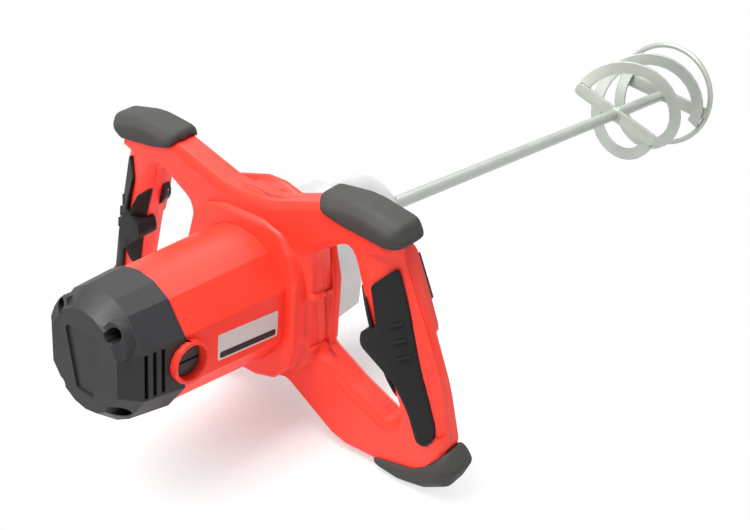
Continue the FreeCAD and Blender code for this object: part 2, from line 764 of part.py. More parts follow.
def armature_windings():
    """Coil bundles lying in the slots, joined by the domed end turns."""
    bars = []
    for i in range(ARMATURE_SLOTS):
        bar = box(ARMATURE_R * 0.62, ARMATURE_R - 1.2, CORE_Y0, CORE_Y1, MOTOR_Z - 2.0, MOTOR_Z + 2.0)
        bar.rotate(Vector(0, 0, MOTOR_Z), Vector(0, 1, 0), i * 360.0 / ARMATURE_SLOTS)
        bars.append(bar)
    ends = []
    for base, tip in ((CORE_Y0, WINDING_REAR_Y), (CORE_Y1, WINDING_FRONT_Y)):
        dome = flat_loft([
            round_points(ARMATURE_R - 1.2, base, 0, MOTOR_Z),
            round_points(ARMATURE_R - 4.0, tip, 0, MOTOR_Z),
        ])
        ends.append(dome.cut(round_hole(SHAFT_R, min(base, tip), max(base, tip), 0, MOTOR_Z)))
    return fused(bars + ends)


def commutator():
    body = round_tube(SHAFT_R, COMMUTATOR_R, COMMUTATOR_Y0, COMMUTATOR_Y1, 0, MOTOR_Z)
    riser = round_tube(SHAFT_R, COMMUTATOR_R + RISER_STEP, COMMUTATOR_Y1, WINDING_REAR_Y, 0, MOTOR_Z)
    cuts = []
    for i in range(COMMUTATOR_BARS):
        cut = box(COMMUTATOR_R - BAR_CUT_DEPTH, COMMUTATOR_R + RISER_STEP + 1.0, COMMUTATOR_Y0, CORE_Y0,
                  MOTOR_Z - BAR_CUT_W / 2, MOTOR_Z + BAR_CUT_W / 2)
        cut.rotate(Vector(0, 0, MOTOR_Z), Vector(0, 1, 0), (i + 0.5) * 360.0 / COMMUTATOR_BARS)
        cuts.append(cut)
    return fused([body, riser]).cut(Part.makeCompound(cuts))


def cooling_fan():
    hub = round_tube(SHAFT_R, SHAFT_R + 6.0, FAN_Y0, FAN_Y1, 0, MOTOR_Z)
    disc = round_tube(SHAFT_R, FAN_R, FAN_Y1 - 2.0, FAN_Y1, 0, MOTOR_Z)
    blades = []
    for i in range(FAN_BLADES):
        blade = box(SHAFT_R + 8.0, FAN_R - 0.5, FAN_Y0, FAN_Y1 - 1.0, MOTOR_Z - 0.9, MOTOR_Z + 0.9)
        blade.rotate(Vector(SHAFT_R + 8.0, 0, MOTOR_Z), Vector(0, 1, 0), 25.0)
        blade = blade.common(round_bar(FAN_R - 0.5, FAN_Y0, FAN_Y1, 0, MOTOR_Z))
        blade.rotate(Vector(0, 0, MOTOR_Z), Vector(0, 1, 0), i * 360.0 / FAN_BLADES)
        blades.append(blade)
    return fused([hub, disc] + blades)


def air_baffle():
    return round_tube(FAN_R * 0.82, BARREL_BORE_R, BAFFLE_Y0, BAFFLE_Y0 + BAFFLE_T, 0, MOTOR_Z)


def bearing(size, y0, x, z):
    bore, outer, width = size
    return round_tube(bore + RUNNING_GAP, outer, y0, y0 + width, x, z)


def tooth_half_angle(teeth, module, radius):
    """Half the angle that a tooth fills at a radius, on an involute flank."""
    pitch_r = module * teeth / 2
    base_r = pitch_r * math.cos(math.radians(PRESSURE_ANGLE))
    at_pitch = math.pi / (2 * teeth) - BACKLASH * module / (2 * pitch_r)
    pressure = math.radians(PRESSURE_ANGLE)
    local = math.acos(min(1.0, base_r / radius))
    return at_pitch + math.tan(pressure) - pressure - math.tan(local) + local


def spur_gear(teeth, module, y0, y1, tooth_angle):
    """Spur gear about the Y axis with one tooth centred on tooth_angle, measured from +X towards +Z."""
    pitch_r = module * teeth / 2
    root_r = pitch_r - DEDENDUM * module
    tip_r = pitch_r + ADDENDUM * module
    base_r = pitch_r * math.cos(math.radians(PRESSURE_ANGLE))
    foot_r = max(base_r, root_r)
    flank = [(foot_r, tooth_half_angle(teeth, module, foot_r)),
             (tip_r, tooth_half_angle(teeth, module, tip_r))]
    if root_r < foot_r:
        flank.insert(0, (root_r, flank[0][1]))
    points = []
    for i in range(teeth):
        middle = math.radians(tooth_angle) + i * 2 * math.pi / teeth
        side = [(r, middle - a) for r, a in flank] + [(r, middle + a) for r, a in reversed(flank)]
        points += [Vector(r * math.cos(t), y0, r * math.sin(t)) for r, t in side]
    face = Part.Face(polygon(points))
    return face.extrude(Vector(0, y1 - y0, 0))


def lay_shaft():
    """Intermediate shaft with the second-stage pinion cut on it."""
    rear = cylinder(BEARING_626[0], PLATE_FRONT_Y - BEARING_626[2], GEAR_1_Y0)
    seat = round_bar(BEARING_626[0] + 2.0, GEAR_1_Y0, GEAR_2_Y0)
    angle = math.degrees(math.atan2(-LAY_Z, -LAY_X))
    teeth = spur_gear(STAGE_2_PINION, STAGE_2_MODULE, GEAR_2_Y0, GEAR_2_Y0 + GEAR_2_T, angle)
    front = cylinder(BEARING_626[0], GEAR_2_Y0 + GEAR_2_T, NOSE_WALL_Y + BEARING_626[2])
    shaft = fused([rear, seat, teeth, front])
    shaft.translate(Vector(LAY_X, 0, LAY_Z))
    return shaft


def lay_gear():
    angle = math.degrees(math.atan2(MOTOR_Z - LAY_Z, -LAY_X)) + 180.0 / STAGE_1_GEAR
    gear = spur_gear(STAGE_1_GEAR, STAGE_1_MODULE, GEAR_1_Y0, GEAR_1_Y0 + GEAR_1_T, angle)
    gear = gear.cut(round_hole(BEARING_626[0] + 2.0, GEAR_1_Y0, GEAR_1_Y0 + GEAR_1_T))
    gear.translate(Vector(LAY_X, 0, LAY_Z))
    return gear


def spindle_gear():
    angle = math.degrees(math.atan2(LAY_Z, LAY_X)) + 180.0 / STAGE_2_GEAR
    gear = spur_gear(STAGE_2_GEAR, STAGE_2_MODULE, GEAR_2_Y0, GEAR_2_Y0 + GEAR_2_T, angle)
    return gear.cut(round_hole(SPINDLE_R + 0.5, GEAR_2_Y0, GEAR_2_Y0 + GEAR_2_T))


def spindle():
    """Output spindle with a threaded socket for the stirrer's stud in its nose."""
    bearing_end = FRONT_BEARING_Y + BEARING_6203[2]
    rear = round_bar(BEARING_608[0], spindle_bearing_y(), GEAR_2_Y0 - GEAR_ROOM)
    collar = round_bar(SPINDLE_R - 1.0, GEAR_2_Y0 - GEAR_ROOM, GEAR_2_Y0)
    seat = round_bar(SPINDLE_R + 0.5, GEAR_2_Y0, GEAR_2_Y0 + GEAR_2_T)
    flange = round_bar(SPINDLE_R + 3.0, GEAR_2_Y0 + GEAR_2_T, GEAR_2_Y0 + GEAR_2_T + GEAR_ROOM / 2)
    body = round_bar(SPINDLE_R, GEAR_2_Y0 + GEAR_2_T, bearing_end)
    nose = round_bar(SPINDLE_NOSE_R, bearing_end, SPINDLE_END_Y)
    solid = fused([rear, collar, seat, flange, body, nose])
    return solid.cut(round_hole(THREAD_D / 2, SPINDLE_END_Y - THREAD_L, SPINDLE_END_Y))


def spindle_bearing_y():
    return GEAR_2_Y0 - GEAR_ROOM - BEARING_608[2]


def gear_plate():
    """Bearing shield between the motor and the gears."""
    faces = [(BARREL_FLARE, y, BARREL_RISE) for y in (BARREL_FRONT_Y, DRUM_FRONT_Y)]
    plate = barrel_loft(faces)
    pilot = gear_room(DRUM_FRONT_Y, PLATE_FRONT_Y, round_bar)
    y_spindle = spindle_bearing_y()
    boss = round_bar(BEARING_608[1] + 2.5, PLATE_FRONT_Y, y_spindle + BEARING_608[2])
    shield = fused([plate, pilot, boss])
    shield = shield.cut(round_hole(BEARING_608[1], y_spindle, y_spindle + BEARING_608[2]))
    seat_end = BARREL_FRONT_Y + BEARING_6001[2]
    shield = shield.cut(round_hole(BEARING_6001[1], BARREL_FRONT_Y, seat_end, 0, MOTOR_Z))
    shield = shield.cut(round_hole(SHAFT_R + 1.0, BARREL_FRONT_Y, PLATE_FRONT_Y, 0, MOTOR_Z))
    pocket = PLATE_FRONT_Y - BEARING_626[2]
    shield = shield.cut(round_hole(BEARING_626[1], pocket, PLATE_FRONT_Y, LAY_X, LAY_Z))
    for x, z in gear_screw_places():
        shield = shield.cut(round_hole(GEAR_SCREW_D / 2, BARREL_FRONT_Y, PLATE_FRONT_Y, x, z, SCREW_SIDES))
    return shield


def gear_room(y0, y1, shaped):
    """Space that the first-stage gears turn in, shaped as a hole or as the boss that fills it."""
    gear_r = STAGE_1_MODULE * (STAGE_1_GEAR / 2 + ADDENDUM) + GEAR_ROOM
    around_lay = shaped(gear_r, y0, y1, LAY_X, LAY_Z)
    around_spindle = shaped(STAGE_2_MODULE * (STAGE_2_GEAR / 2 + ADDENDUM) + GEAR_ROOM, y0, y1)
    around_motor = shaped(BEARING_6001[1], y0, y1, 0, MOTOR_Z)
    return fused([around_lay, around_spindle, around_motor])


def gear_screw_places():
    """Screw centres beside the motor's bore, mirrored left and right."""
    middle = MOTOR_Z + BARREL_RISE
    return [(side * x, middle + z) for x, z in GEAR_SCREWS for side in (-1, 1)]


def nose_ring(width, bottom, top, corner, y):
    """Box outline with its four corners cut off at 45 degrees."""
    half = width / 2
    upper = [(half, top - corner), (half - corner, top)]
    lower = [(-half, bottom + corner), (-half + corner, bottom)]
    outline = upper + [(-x, z) for x, z in reversed(upper)]
    outline += lower + [(-x, z) for x, z in reversed(lower)]
    return [Vector(x, y, z) for x, z in outline]


def flange_ring(room, y):
    """Outline of the gear housing's flange, with some room all round."""
    return nose_ring(FLANGE_W + 2 * room, FLANGE_BOTTOM - room, FLANGE_TOP + room, FLANGE_CORNER, y)


def gear_housing():
    """Cast gear case: square flange, deep box round the gears and a round neck for the spindle bearing."""
    half_end = NOSE_END_W / 2
    flange = flat_loft([flange_ring(0.0, FLANGE_Y), flange_ring(0.0, NOSE_Y)])
    nose = flat_loft([
        flange_ring(-NOSE_INSET, NOSE_Y),
        flange_ring(-NOSE_INSET * 2, NOSE_SHOULDER_Y),
        nose_ring(NOSE_END_W, -half_end, half_end, NOSE_END_CORNER, NOSE_END_Y),
    ])
    neck = round_bar(NECK_R, NOSE_END_Y, NECK_FRONT_Y, 0, 0, NECK_SIDES)
    tip = flat_loft([
        round_points(NECK_R, NECK_FRONT_Y, 0, 0, NECK_SIDES),
        round_points(NECK_TIP_R, NECK_TIP_Y, 0, 0, NECK_SIDES),
    ])
    body = fused([flange, nose, neck, tip])
    first = gear_room(FLANGE_Y, GEAR_1_Y0 + GEAR_1_T + GEAR_ROOM, round_hole)
    second = round_hole(STAGE_2_MODULE * (STAGE_2_GEAR / 2 + ADDENDUM) + GEAR_ROOM, FLANGE_Y, NOSE_WALL_Y)
    pinion_room = round_hole(STAGE_2_MODULE * (STAGE_2_PINION / 2 + ADDENDUM) + GEAR_ROOM,
                             FLANGE_Y, NOSE_WALL_Y, LAY_X, LAY_Z)
    lay_seat = round_hole(BEARING_626[1], NOSE_WALL_Y, NOSE_WALL_Y + BEARING_626[2], LAY_X, LAY_Z)
    passage = round_hole(SPINDLE_NOSE_R + SPINDLE_ROOM, NOSE_WALL_Y, NECK_TIP_Y)
    bearing_seat = round_hole(BEARING_6203[1], FRONT_BEARING_Y, SEAL_Y + SEAL_T)
    for room in (first, second, pinion_room, lay_seat, passage, bearing_seat):
        body = body.cut(room)
    for x, z in gear_screw_places():
        body = body.cut(screw_hole(GEAR_SCREW_D, FLANGE_Y, GEAR_SCREW_SEAT_Y, x, z))
        body = body.cut(screw_hole(GEAR_SCREW_HEAD_D + HEAD_ROOM, GEAR_SCREW_SEAT_Y, NOSE_END_Y, x, z))
    return body


def gear_housing_screws():
    length = GEAR_SCREW_SEAT_Y - GEAR_SCREW_END_Y
    return Part.makeCompound([
        screw(length, GEAR_SCREW_D, GEAR_SCREW_HEAD_D, GEAR_SCREW_HEAD_T, x, GEAR_SCREW_SEAT_Y, z, -1)
        for x, z in gear_screw_places()
    ])


def spindle_circlip():
    y0 = FRONT_BEARING_Y + BEARING_6203[2]
    ring = round_tube(BEARING_6203[1] - 3.0, BEARING_6203[1], y0, y0 + CIRCLIP_T)
    return ring.cut(box(-3.0, 3.0, y0, y0 + CIRCLIP_T, 0.0, BEARING_6203[1] + 1.0))


def oil_seal():
    return round_tube(SPINDLE_NOSE_R + RUNNING_GAP, BEARING_6203[1], SEAL_Y, SEAL_Y + SEAL_T)


def frame_body():
    """Arms and grips of the handle frame as one rounded body, before it is split and hollowed."""
    half = FRAME_T / 2
    plate = soft_prism(rounded_points(FRAME_OUTLINE + mirrored(FRAME_OUTLINE)), -half, half, FRAME_EDGE)
    for points in (GRIP_OPENING, mirrored(GRIP_OPENING)):
        opening = rounded_points(points)
        flare = inset(opening, -FRAME_EDGE * 2)
        plate = plate.cut(flat_loft([
            at_depth(flare, -half - FRAME_EDGE),
            at_depth(opening, -half + FRAME_EDGE),
            at_depth(opening, half - FRAME_EDGE),
            at_depth(flare, half + FRAME_EDGE),
        ]))
    bulges = []
    for points in (GRIP_BULGE, mirrored(GRIP_BULGE)):
        outline = rounded_points(points)
        bulges.append(flat_loft([
            at_depth(outline, 0.0),
            at_depth(outline, BULGE_V - FRAME_EDGE),
            at_depth(inset(outline, FRAME_EDGE), BULGE_V),
        ]))
    body = fused([plate] + bulges)
    for side in (-1, 1):
        body = body.cut(grip_slope(side, 0.0))
    return in_frame(body)


def grip_slope(side, out):
    """What the sloping palm side cuts off a grip's rear outer edge, with the slope moved out."""
    splay = math.radians(GRIP_SPLAY)
    slope = math.radians(GRIP_SLOPE)
    along = Vector(math.sin(splay), 0, -math.cos(splay))
    across = Vector(math.cos(splay), 0, math.sin(splay))
    rear = Vector(0, -FRAME_T / 2, 0)
    start = Vector(opening_edge(GRIP_SLOPE_W) + GRIP_FLAT / math.cos(splay), 0, GRIP_SLOPE_W) + rear
    start += (across * math.sin(slope) - Vector(0, math.cos(slope), 0)) * out
    reach = FRAME_T * 2
    inner = start - (across * math.cos(slope) + Vector(0, math.sin(slope), 0)) * reach
    outer = start + (across * math.cos(slope) + Vector(0, math.sin(slope), 0)) * reach
    corner = Vector(outer.x, inner.y, outer.z)
    half = along * (GRIP_SLOPE_L / 2)
    run = along * GRIP_SLOPE_RUN
    wedge = flat_loft([
        [inner - half - run, corner - half - run, outer - half + run],
        [inner + half + run, corner + half + run, outer + half - run],
    ])
    return on_side(wedge, side)


def frame_cavity():
    """Hollow inside the arms and grips, one wall thickness in from every side."""
    outline = rounded_points(FRAME_OUTLINE + mirrored(FRAME_OUTLINE), CAVITY_STEP)
    room = straight_prism(inset(outline, FRAME_WALL), -INNER_V, INNER_V)
    for points in (GRIP_OPENING, mirrored(GRIP_OPENING)):
        wall = inset(sharp_points(points), -FRAME_WALL)
        room = room.cut(straight_prism(wall, -FRAME_T, FRAME_T))
    centre = DRUM_W / 2 + FRAME_WALL
    room = room.cut(box(-centre, centre, -FRAME_T, FRAME_T, -200.0, 200.0))
    for points in (GRIP_BULGE, mirrored(GRIP_BULGE)):
        inside = inset(rounded_points(points, CAVITY_STEP), FRAME_WALL)
        room = room.fuse(straight_prism(inside, 0.0, BULGE_V - FRAME_WALL))
    for u, w in boss_places():
        room = room.cut(round_bar(BOSS_R, -FRAME_T, FRAME_T, u, w, SCREW_SIDES))
    for side in (-1, 1):
        room = room.cut(grip_slope(side, -FRAME_WALL))
    return in_frame(room)


def boss_places():
    return [(side * u, w) for u, w in HANDLE_BOSSES for side in (-1, 1)]


def half_space(front):
    """Everything on one side of the frame's parting plane."""
    size = 400.0
    y0, y1 = (0.0, size) if front else (-size, 0.0)
    return in_frame(box(-size, size, y0, y1, -size, size))


def barrel_envelope():
    return barrel_loft(barrel_stations(DRUM_FRONT_Y + 20.0))


def drum():
    """Deep crowned centre of the frame, round the front of the motor, with a lip at its front."""
    def ring(extra, y0, y1):
        half = DRUM_W / 2 + extra
        outline = rounded_points([
            (-half, DRUM_BOTTOM - extra, DRUM_CORNER),
            (-half, DRUM_TOP + extra, DRUM_CROWN_R),
            (half, DRUM_TOP + extra, DRUM_CROWN_R),
            (half, DRUM_BOTTOM - extra, DRUM_CORNER),
        ])
        return straight_prism(outline, y0, y1)

    body = ring(0.0, DRUM_REAR_Y, DRUM_FRONT_Y)
    for side in (-1, 1):
        x0, x1 = sorted((side * (DRUM_W / 2 - PANEL_DEPTH), side * DRUM_W))
        rib_low = PANEL_RIB_Z - PANEL_RIB_T / 2
        rib_high = PANEL_RIB_Z + PANEL_RIB_T / 2
        body = body.cut(box(x0, x1, PANEL_Y0, PANEL_Y1, rib_high, PANEL_TOP))
        body = body.cut(box(x0, x1, PANEL_Y0, PANEL_Y1, PANEL_BOTTOM, rib_low))
    return fused([body, ring(DRUM_LIP, DRUM_FRONT_Y - DRUM_LIP_T, DRUM_FRONT_Y)])


def barrel_collar():
    """Stepped collar where the motor barrel enters the frame."""
    half = COLLAR_W / 2
    outline = rounded_points([
        (-half, COLLAR_BOTTOM, COLLAR_CORNER),
        (-half, COLLAR_TOP, COLLAR_CORNER),
        (half, COLLAR_TOP, COLLAR_CORNER),
        (half, COLLAR_BOTTOM, COLLAR_CORNER),
    ])
    return flat_loft([
        at_depth(inset(outline, COLLAR_EDGE), COLLAR_REAR_Y),
        at_depth(outline, COLLAR_REAR_Y + COLLAR_EDGE),
        at_depth(outline, DRUM_REAR_Y + DRUM_LIP_T),
    ])


def handle_shell(front, body, cavity):
    extra = [drum()] if front else [drum(), barrel_collar()]
    shell = fused([body] + extra).common(half_space(front))
    shell = shell.cut(cavity).cut(barrel_envelope())
    room = flat_loft([flange_ring(FLANGE_ROOM, DRUM_FRONT_Y), flange_ring(FLANGE_ROOM, NOSE_END_Y)])
    shell = shell.cut(room)
    for u, w in boss_places():
        shell = shell.cut(in_frame(screw_hole(HANDLE_SCREW_D, HANDLE_SEAT_V - HANDLE_SCREW_L, FRAME_T, u, w)))
        seat_d = HANDLE_HEAD_D + HANDLE_HEAD_ROOM
        shell = shell.cut(in_frame(screw_hole(seat_d, HANDLE_SEAT_V, FRAME_T * 2, u, w)))
    return shell


def handle_front_shell(body, cavity):
    shell = handle_shell(True, body, cavity)
    width = TRIGGER_WIDTH + 2 * TRIGGER_GAP
    length = TRIGGER_LENGTH + 2 * TRIGGER_GAP
    shell = shell.cut(trigger_block(width, length, 0.0, FRAME_T * 2))
    shell = shell.cut(in_frame(button_pin(round_hole, BUTTON_R + BUTTON_GAP, -BUTTON_BORE, BUTTON_BORE)))
    half = DIAL_T / 2 + DIAL_GAP
    slot = round_hole(DIAL_R + DIAL_GAP, DIAL_V - half, DIAL_V + half, dial_u(), DIAL_W)
    return shell.cut(in_frame(slot))


def handle_rear_shell(body, cavity):
    shell = handle_shell(False, body, cavity)
    return shell.cut(in_frame(round_hole(INLET_NECK_R, -FRAME_T, 0.0, INLET_U, INLET_W)))


def handle_screws():
    screws = [screw(HANDLE_SCREW_L, HANDLE_SCREW_D, HANDLE_HEAD_D, HANDLE_HEAD_T, u, HANDLE_SEAT_V, w, -1)
              for u, w in boss_places()]
    return in_frame(Part.makeCompound(screws))


def grip_insert(side, body):
    """Soft pad on a grip's palm side, standing a little proud of the flat and of the slope."""
    points = GRIP_INSERT if side > 0 else mirrored(GRIP_INSERT)
    y0 = -FRAME_T / 2 - GRIP_INSERT_PROUD
    pad = straight_prism(rounded_points(points), y0, y0 + GRIP_INSERT_PROUD + GRIP_INSERT_WRAP)
    pad = pad.cut(grip_slope(side, GRIP_INSERT_PROUD))
    return largest(in_frame(pad).cut(body))


def largest(shape):
    return max(shape.Solids, key=lambda solid: solid.Volume)


def bumper(side, points, body):
    outline = points if side > 0 else mirrored(points)
    block = soft_prism(rounded_points(outline), -BUMPER_T / 2, BUMPER_T / 2, BUMPER_EDGE)
    return largest(in_frame(block).cut(body))


def grip_turned(shape, side, u, w):
    """Turns a shape about the frame's normal so that it runs along the splayed grip."""
    turned = shape.copy()
    turned.rotate(Vector(u, 0, w), Vector(0, 1, 0), -side * GRIP_SPLAY)
    return turned


def trigger_block(width, length, v0, v1):
    block = box(TRIGGER_U - width / 2, TRIGGER_U + width / 2, v0, v1,
                TRIGGER_W - length / 2, TRIGGER_W + length / 2)
    return in_frame(grip_turned(block, 1, TRIGGER_U, TRIGGER_W))


def trigger():
    """Trigger bar with a finger hollow, a retaining lip and a stem into the switch."""
    lip_v1 = BULGE_V - FRAME_WALL
    lip_v0 = lip_v1 - TRIGGER_LIP_T
    front = BULGE_V + TRIGGER_PROUD
    half = TRIGGER_WIDTH / 2
    bar = box(TRIGGER_U - half, TRIGGER_U + half, lip_v0, front,
              TRIGGER_W - TRIGGER_LENGTH / 2, TRIGGER_W + TRIGGER_LENGTH / 2)
    bar = bar.makeChamfer(TRIGGER_EDGE, end_edges(bar, front))
    hollow = cross_cylinder(TRIGGER_HOLLOW_R, TRIGGER_U - FRAME_T, TRIGGER_U + FRAME_T,
                            front + TRIGGER_HOLLOW_R - 2.5, TRIGGER_W)
    lip = box(TRIGGER_U - half - TRIGGER_LIP, TRIGGER_U + half + TRIGGER_LIP, lip_v0, lip_v1 - TRIGGER_GAP,
              TRIGGER_W - TRIGGER_LENGTH / 2 - TRIGGER_LIP, TRIGGER_W + TRIGGER_LENGTH / 2 + TRIGGER_LIP)
    stem = round_bar(STEM_R, switch_front() - STEM_REACH, lip_v0, TRIGGER_U, TRIGGER_W, SCREW_SIDES)
    whole = fused([bar.cut(hollow), lip, stem])
    return in_frame(grip_turned(whole, 1, TRIGGER_U, TRIGGER_W))


def switch_front():
    return SWITCH_DEPTH - INNER_V


def trigger_switch():
    body = box(TRIGGER_U - SWITCH_WIDTH / 2, TRIGGER_U + SWITCH_WIDTH / 2, -INNER_V, switch_front(),
               TRIGGER_W - SWITCH_LENGTH / 2, TRIGGER_W + SWITCH_LENGTH / 2)
    depth = STEM_REACH + TRIGGER_TRAVEL + 1.0
    front = switch_front()
    socket = round_hole(STEM_R + STEM_GAP, front - depth, front, TRIGGER_U, TRIGGER_W, SCREW_SIDES)
    body = grip_turned(body.cut(socket), 1, TRIGGER_U, TRIGGER_W)
    return in_frame(body.cut(grip_slope(1, -FRAME_WALL - SEAT_GAP)))


def opening_edge(w):
    """How far out the grip's inner edge is at a height in the frame's plane."""
    for (u0, w0, r0), (u1, w1, r1) in zip(GRIP_OPENING[2:], GRIP_OPENING[3:]):
        if w1 <= w <= w0:
            return u0 + (u1 - u0) * (w0 - w) / (w0 - w1)
    raise ValueError("height is outside the grip")


def button_pin(shaped, radius, u0, u1):
    edge = opening_edge(BUTTON_W)
    return cross_bar(shaped, radius, edge + u0, edge + u1, BUTTON_V, BUTTON_W)


def lock_button():
    """Lock-on button in the grip's inner side, with a shoulder behind the wall."""
    splay = math.radians(GRIP_SPLAY)
    shoulder = FRAME_WALL / math.cos(splay) + BUTTON_HEAD_R * math.tan(splay) + BUTTON_GAP
    pin = button_pin(round_bar, BUTTON_R, -BUTTON_PROUD, shoulder)
    head = button_pin(round_bar, BUTTON_HEAD_R, shoulder, shoulder + BUTTON_HEAD_T)
    return in_frame(fused([pin, head]))


def dial_u():
    return -(opening_edge(DIAL_W) - DIAL_PROUD + DIAL_R)


def speed_dial():
    """Thumbwheel with gripping flats round its rim, on a short shaft."""
    v0 = DIAL_V - DIAL_T / 2
    wheel = round_bar(DIAL_R, v0, v0 + DIAL_T, dial_u(), DIAL_W, DIAL_FLATS)
    shaft = cylinder(STEM_R, v0 - DIAL_SHAFT_L, v0, dial_u(), DIAL_W)
    return in_frame(fused([wheel, shaft]))


def speed_control():
    """Speed regulator behind the thumbwheel."""
    front = CONTROL_DEPTH - INNER_V
    inner = -opening_edge(DIAL_W) - FRAME_WALL - CONTROL_ROOM
    body = box(inner - CONTROL_WIDTH, inner, -INNER_V, front,
               DIAL_W - CONTROL_LENGTH / 2, DIAL_W + CONTROL_LENGTH / 2)
    body = grip_turned(body, -1, inner, DIAL_W)
    socket_end = DIAL_V - DIAL_T / 2 - DIAL_SHAFT_L - 1.0
    body = body.cut(round_hole(STEM_R + STEM_GAP, socket_end, front, dial_u(), DIAL_W, SCREW_SIDES))
    return in_frame(body.cut(grip_slope(-1, -FRAME_WALL - SEAT_GAP)))


def cable_inlet():
    """Tapered rubber gland where the supply cable enters the frame."""
    rear = -FRAME_T / 2
    cone = flat_loft([
        round_points(INLET_R, rear, INLET_U, INLET_W),
        round_points(INLET_TIP_R, rear - INLET_L, INLET_U, INLET_W),
    ])
    neck = round_bar(INLET_NECK_R, rear, rear + FRAME_WALL, INLET_U, INLET_W)
    bore = round_hole(INLET_BORE_R, rear - INLET_L, rear + FRAME_WALL, INLET_U, INLET_W)
    return in_frame(fused([cone, neck]).cut(bore))


def paddle_rod():
    """Stirrer rod with its threaded stud and the hexagon that it is tightened by."""
    stud = round_bar(THREAD_D / 2, SPINDLE_END_Y - THREAD_L, SPINDLE_END_Y)
    hexagon = round_hole(HEX_AF / 2, SPINDLE_END_Y, SPINDLE_END_Y + HEX_T, 0, 0, 6)
    rod = cylinder(ROD_D / 2, SPINDLE_END_Y + HEX_T, FAR_BAR_Y + CROSSBAR_T / 2)
    return fused([stud, hexagon, rod])


def crossbar(y, angle, length):
    """Flat bar across the rod, with its ends rounded about the axis."""
    y0 = y - CROSSBAR_T / 2
    bar = box(-length / 2, length / 2, y0, y0 + CROSSBAR_T, -CROSSBAR_W / 2, CROSSBAR_W / 2)
    bar = bar.common(cylinder(length / 2, y - CROSSBAR_T, y + CROSSBAR_T))
    bar = bar.cut(round_hole(ROD_D / 2, y - CROSSBAR_T, y + CROSSBAR_T))
    bar.rotate(Vector(0, 0, 0), Vector(0, 1, 0), -angle)
    return bar


def ribbon(bars):
    """Flat strip wound round the rod from the near crossbar to the far one."""
    reach = FAR_BAR_Y - NEAR_BAR_Y
    strip = wound_strip(RIBBON_IN_R, RIBBON_OUT_R, RIBBON_T, reach, RIBBON_TURN, RIBBON_STEPS)
    strip.rotate(Vector(0, 0, 0), Vector(0, 1, 0), -NEAR_BAR_ANGLE)
    strip.translate(Vector(0, NEAR_BAR_Y, 0))
    for bar in bars:
        strip = strip.cut(bar)
    return largest(strip)


def end_ring(far_bar):
    """Round bar bent to a ring, with flats that touch its inner and outer circles."""
    bar_r = RING_BAR_D / 2 / math.cos(math.pi / RING_FLATS)
    turns = [2 * math.pi * (i + 0.5) / RING_FLATS for i in range(RING_FLATS)]
    section = [(RING_R + bar_r * math.cos(t), RING_Y + bar_r * math.sin(t)) for t in turns]
    rings = []
    for i in range(RING_STEPS):
        angle = 2 * math.pi * (i + 0.5) / RING_STEPS
        swell = 1 / math.cos(math.pi / RING_STEPS)
        way = Vector(swell * math.sin(angle), 0, swell * math.cos(angle))
        rings.append([way * r + Vector(0, y, 0) for r, y in section])
    return flat_loft(rings, closed=True).cut(far_bar)


def all_pieces():
    """Every piece of the tool by name, in the tool's own frame."""
    body = frame_body()
    cavity = frame_cavity()
    near_bar = crossbar(NEAR_BAR_Y, NEAR_BAR_ANGLE, RIBBON_D)
    far_bar = crossbar(FAR_BAR_Y, FAR_BAR_ANGLE, FAR_BAR_L)
    first_ribbon = ribbon((near_bar, far_bar))
    second_ribbon = first_ribbon.copy()
    second_ribbon.rotate(Vector(0, 0, 0), Vector(0, 1, 0), 180)
    pieces = {
        "motor_housing": motor_housing(),
        "rear_cap": rear_cap(),
        "rear_cap_screws": rear_cap_screws(),
        "handle_rear_shell": handle_rear_shell(body, cavity),
        "handle_front_shell": handle_front_shell(body, cavity),
        "handle_screws": handle_screws(),
        "gear_plate": gear_plate(),
        "gear_housing": gear_housing(),
        "gear_housing_screws": gear_housing_screws(),
        "stator_core": stator_core(),
        "field_coils": field_coils(),
        "air_baffle": air_baffle(),
        "armature_shaft": armature_shaft(),
        "armature_core": armature_core(),
        "armature_windings": armature_windings(),
        "commutator": commutator(),
        "cooling_fan": cooling_fan(),
        "armature_rear_bearing": bearing(BEARING_608, REAR_BEARING_Y, 0, MOTOR_Z),
        "armature_front_bearing": bearing(BEARING_6001, BARREL_FRONT_Y, 0, MOTOR_Z),
        "lay_shaft": lay_shaft(),
        "lay_gear": lay_gear(),
        "lay_rear_bearing": bearing(BEARING_626, PLATE_FRONT_Y - BEARING_626[2], LAY_X, LAY_Z),
        "lay_front_bearing": bearing(BEARING_626, NOSE_WALL_Y, LAY_X, LAY_Z),
        "spindle": spindle(),
        "spindle_gear": spindle_gear(),
        "spindle_rear_bearing": bearing(BEARING_608, spindle_bearing_y(), 0, 0),
        "spindle_front_bearing": bearing(BEARING_6203, FRONT_BEARING_Y, 0, 0),
        "spindle_circlip": spindle_circlip(),
        "oil_seal": oil_seal(),
        "trigger": trigger(),
        "trigger_switch": trigger_switch(),
        "lock_button": lock_button(),
        "speed_dial": speed_dial(),
        "speed_control": speed_control(),
        "cable_inlet": cable_inlet(),
        "paddle_rod": paddle_rod(),
        "paddle_near_crossbar": near_bar,
        "paddle_far_crossbar": far_bar,
        "paddle_ribbon_a": first_ribbon,
        "paddle_ribbon_b": second_ribbon,
        "paddle_end_ring": end_ring(far_bar),
    }
    for side, name in ((-1, "left"), (1, "right")):
        pieces["grip_insert_" + name] = grip_insert(side, body)
        pieces["top_bumper_" + name] = bumper(side, TOP_BUMPER, body)
        pieces["bottom_bumper_" + name] = bumper(side, BOTTOM_BUMPER, body)
        pieces["brush_cap_" + name] = brush_cap(side)
        pieces["brush_holder_" + name] = brush_holder(side)
        pieces["carbon_brush_" + name] = carbon_brush(side)
        pieces["brush_spring_" + name] = brush_spring(side)
    return pieces


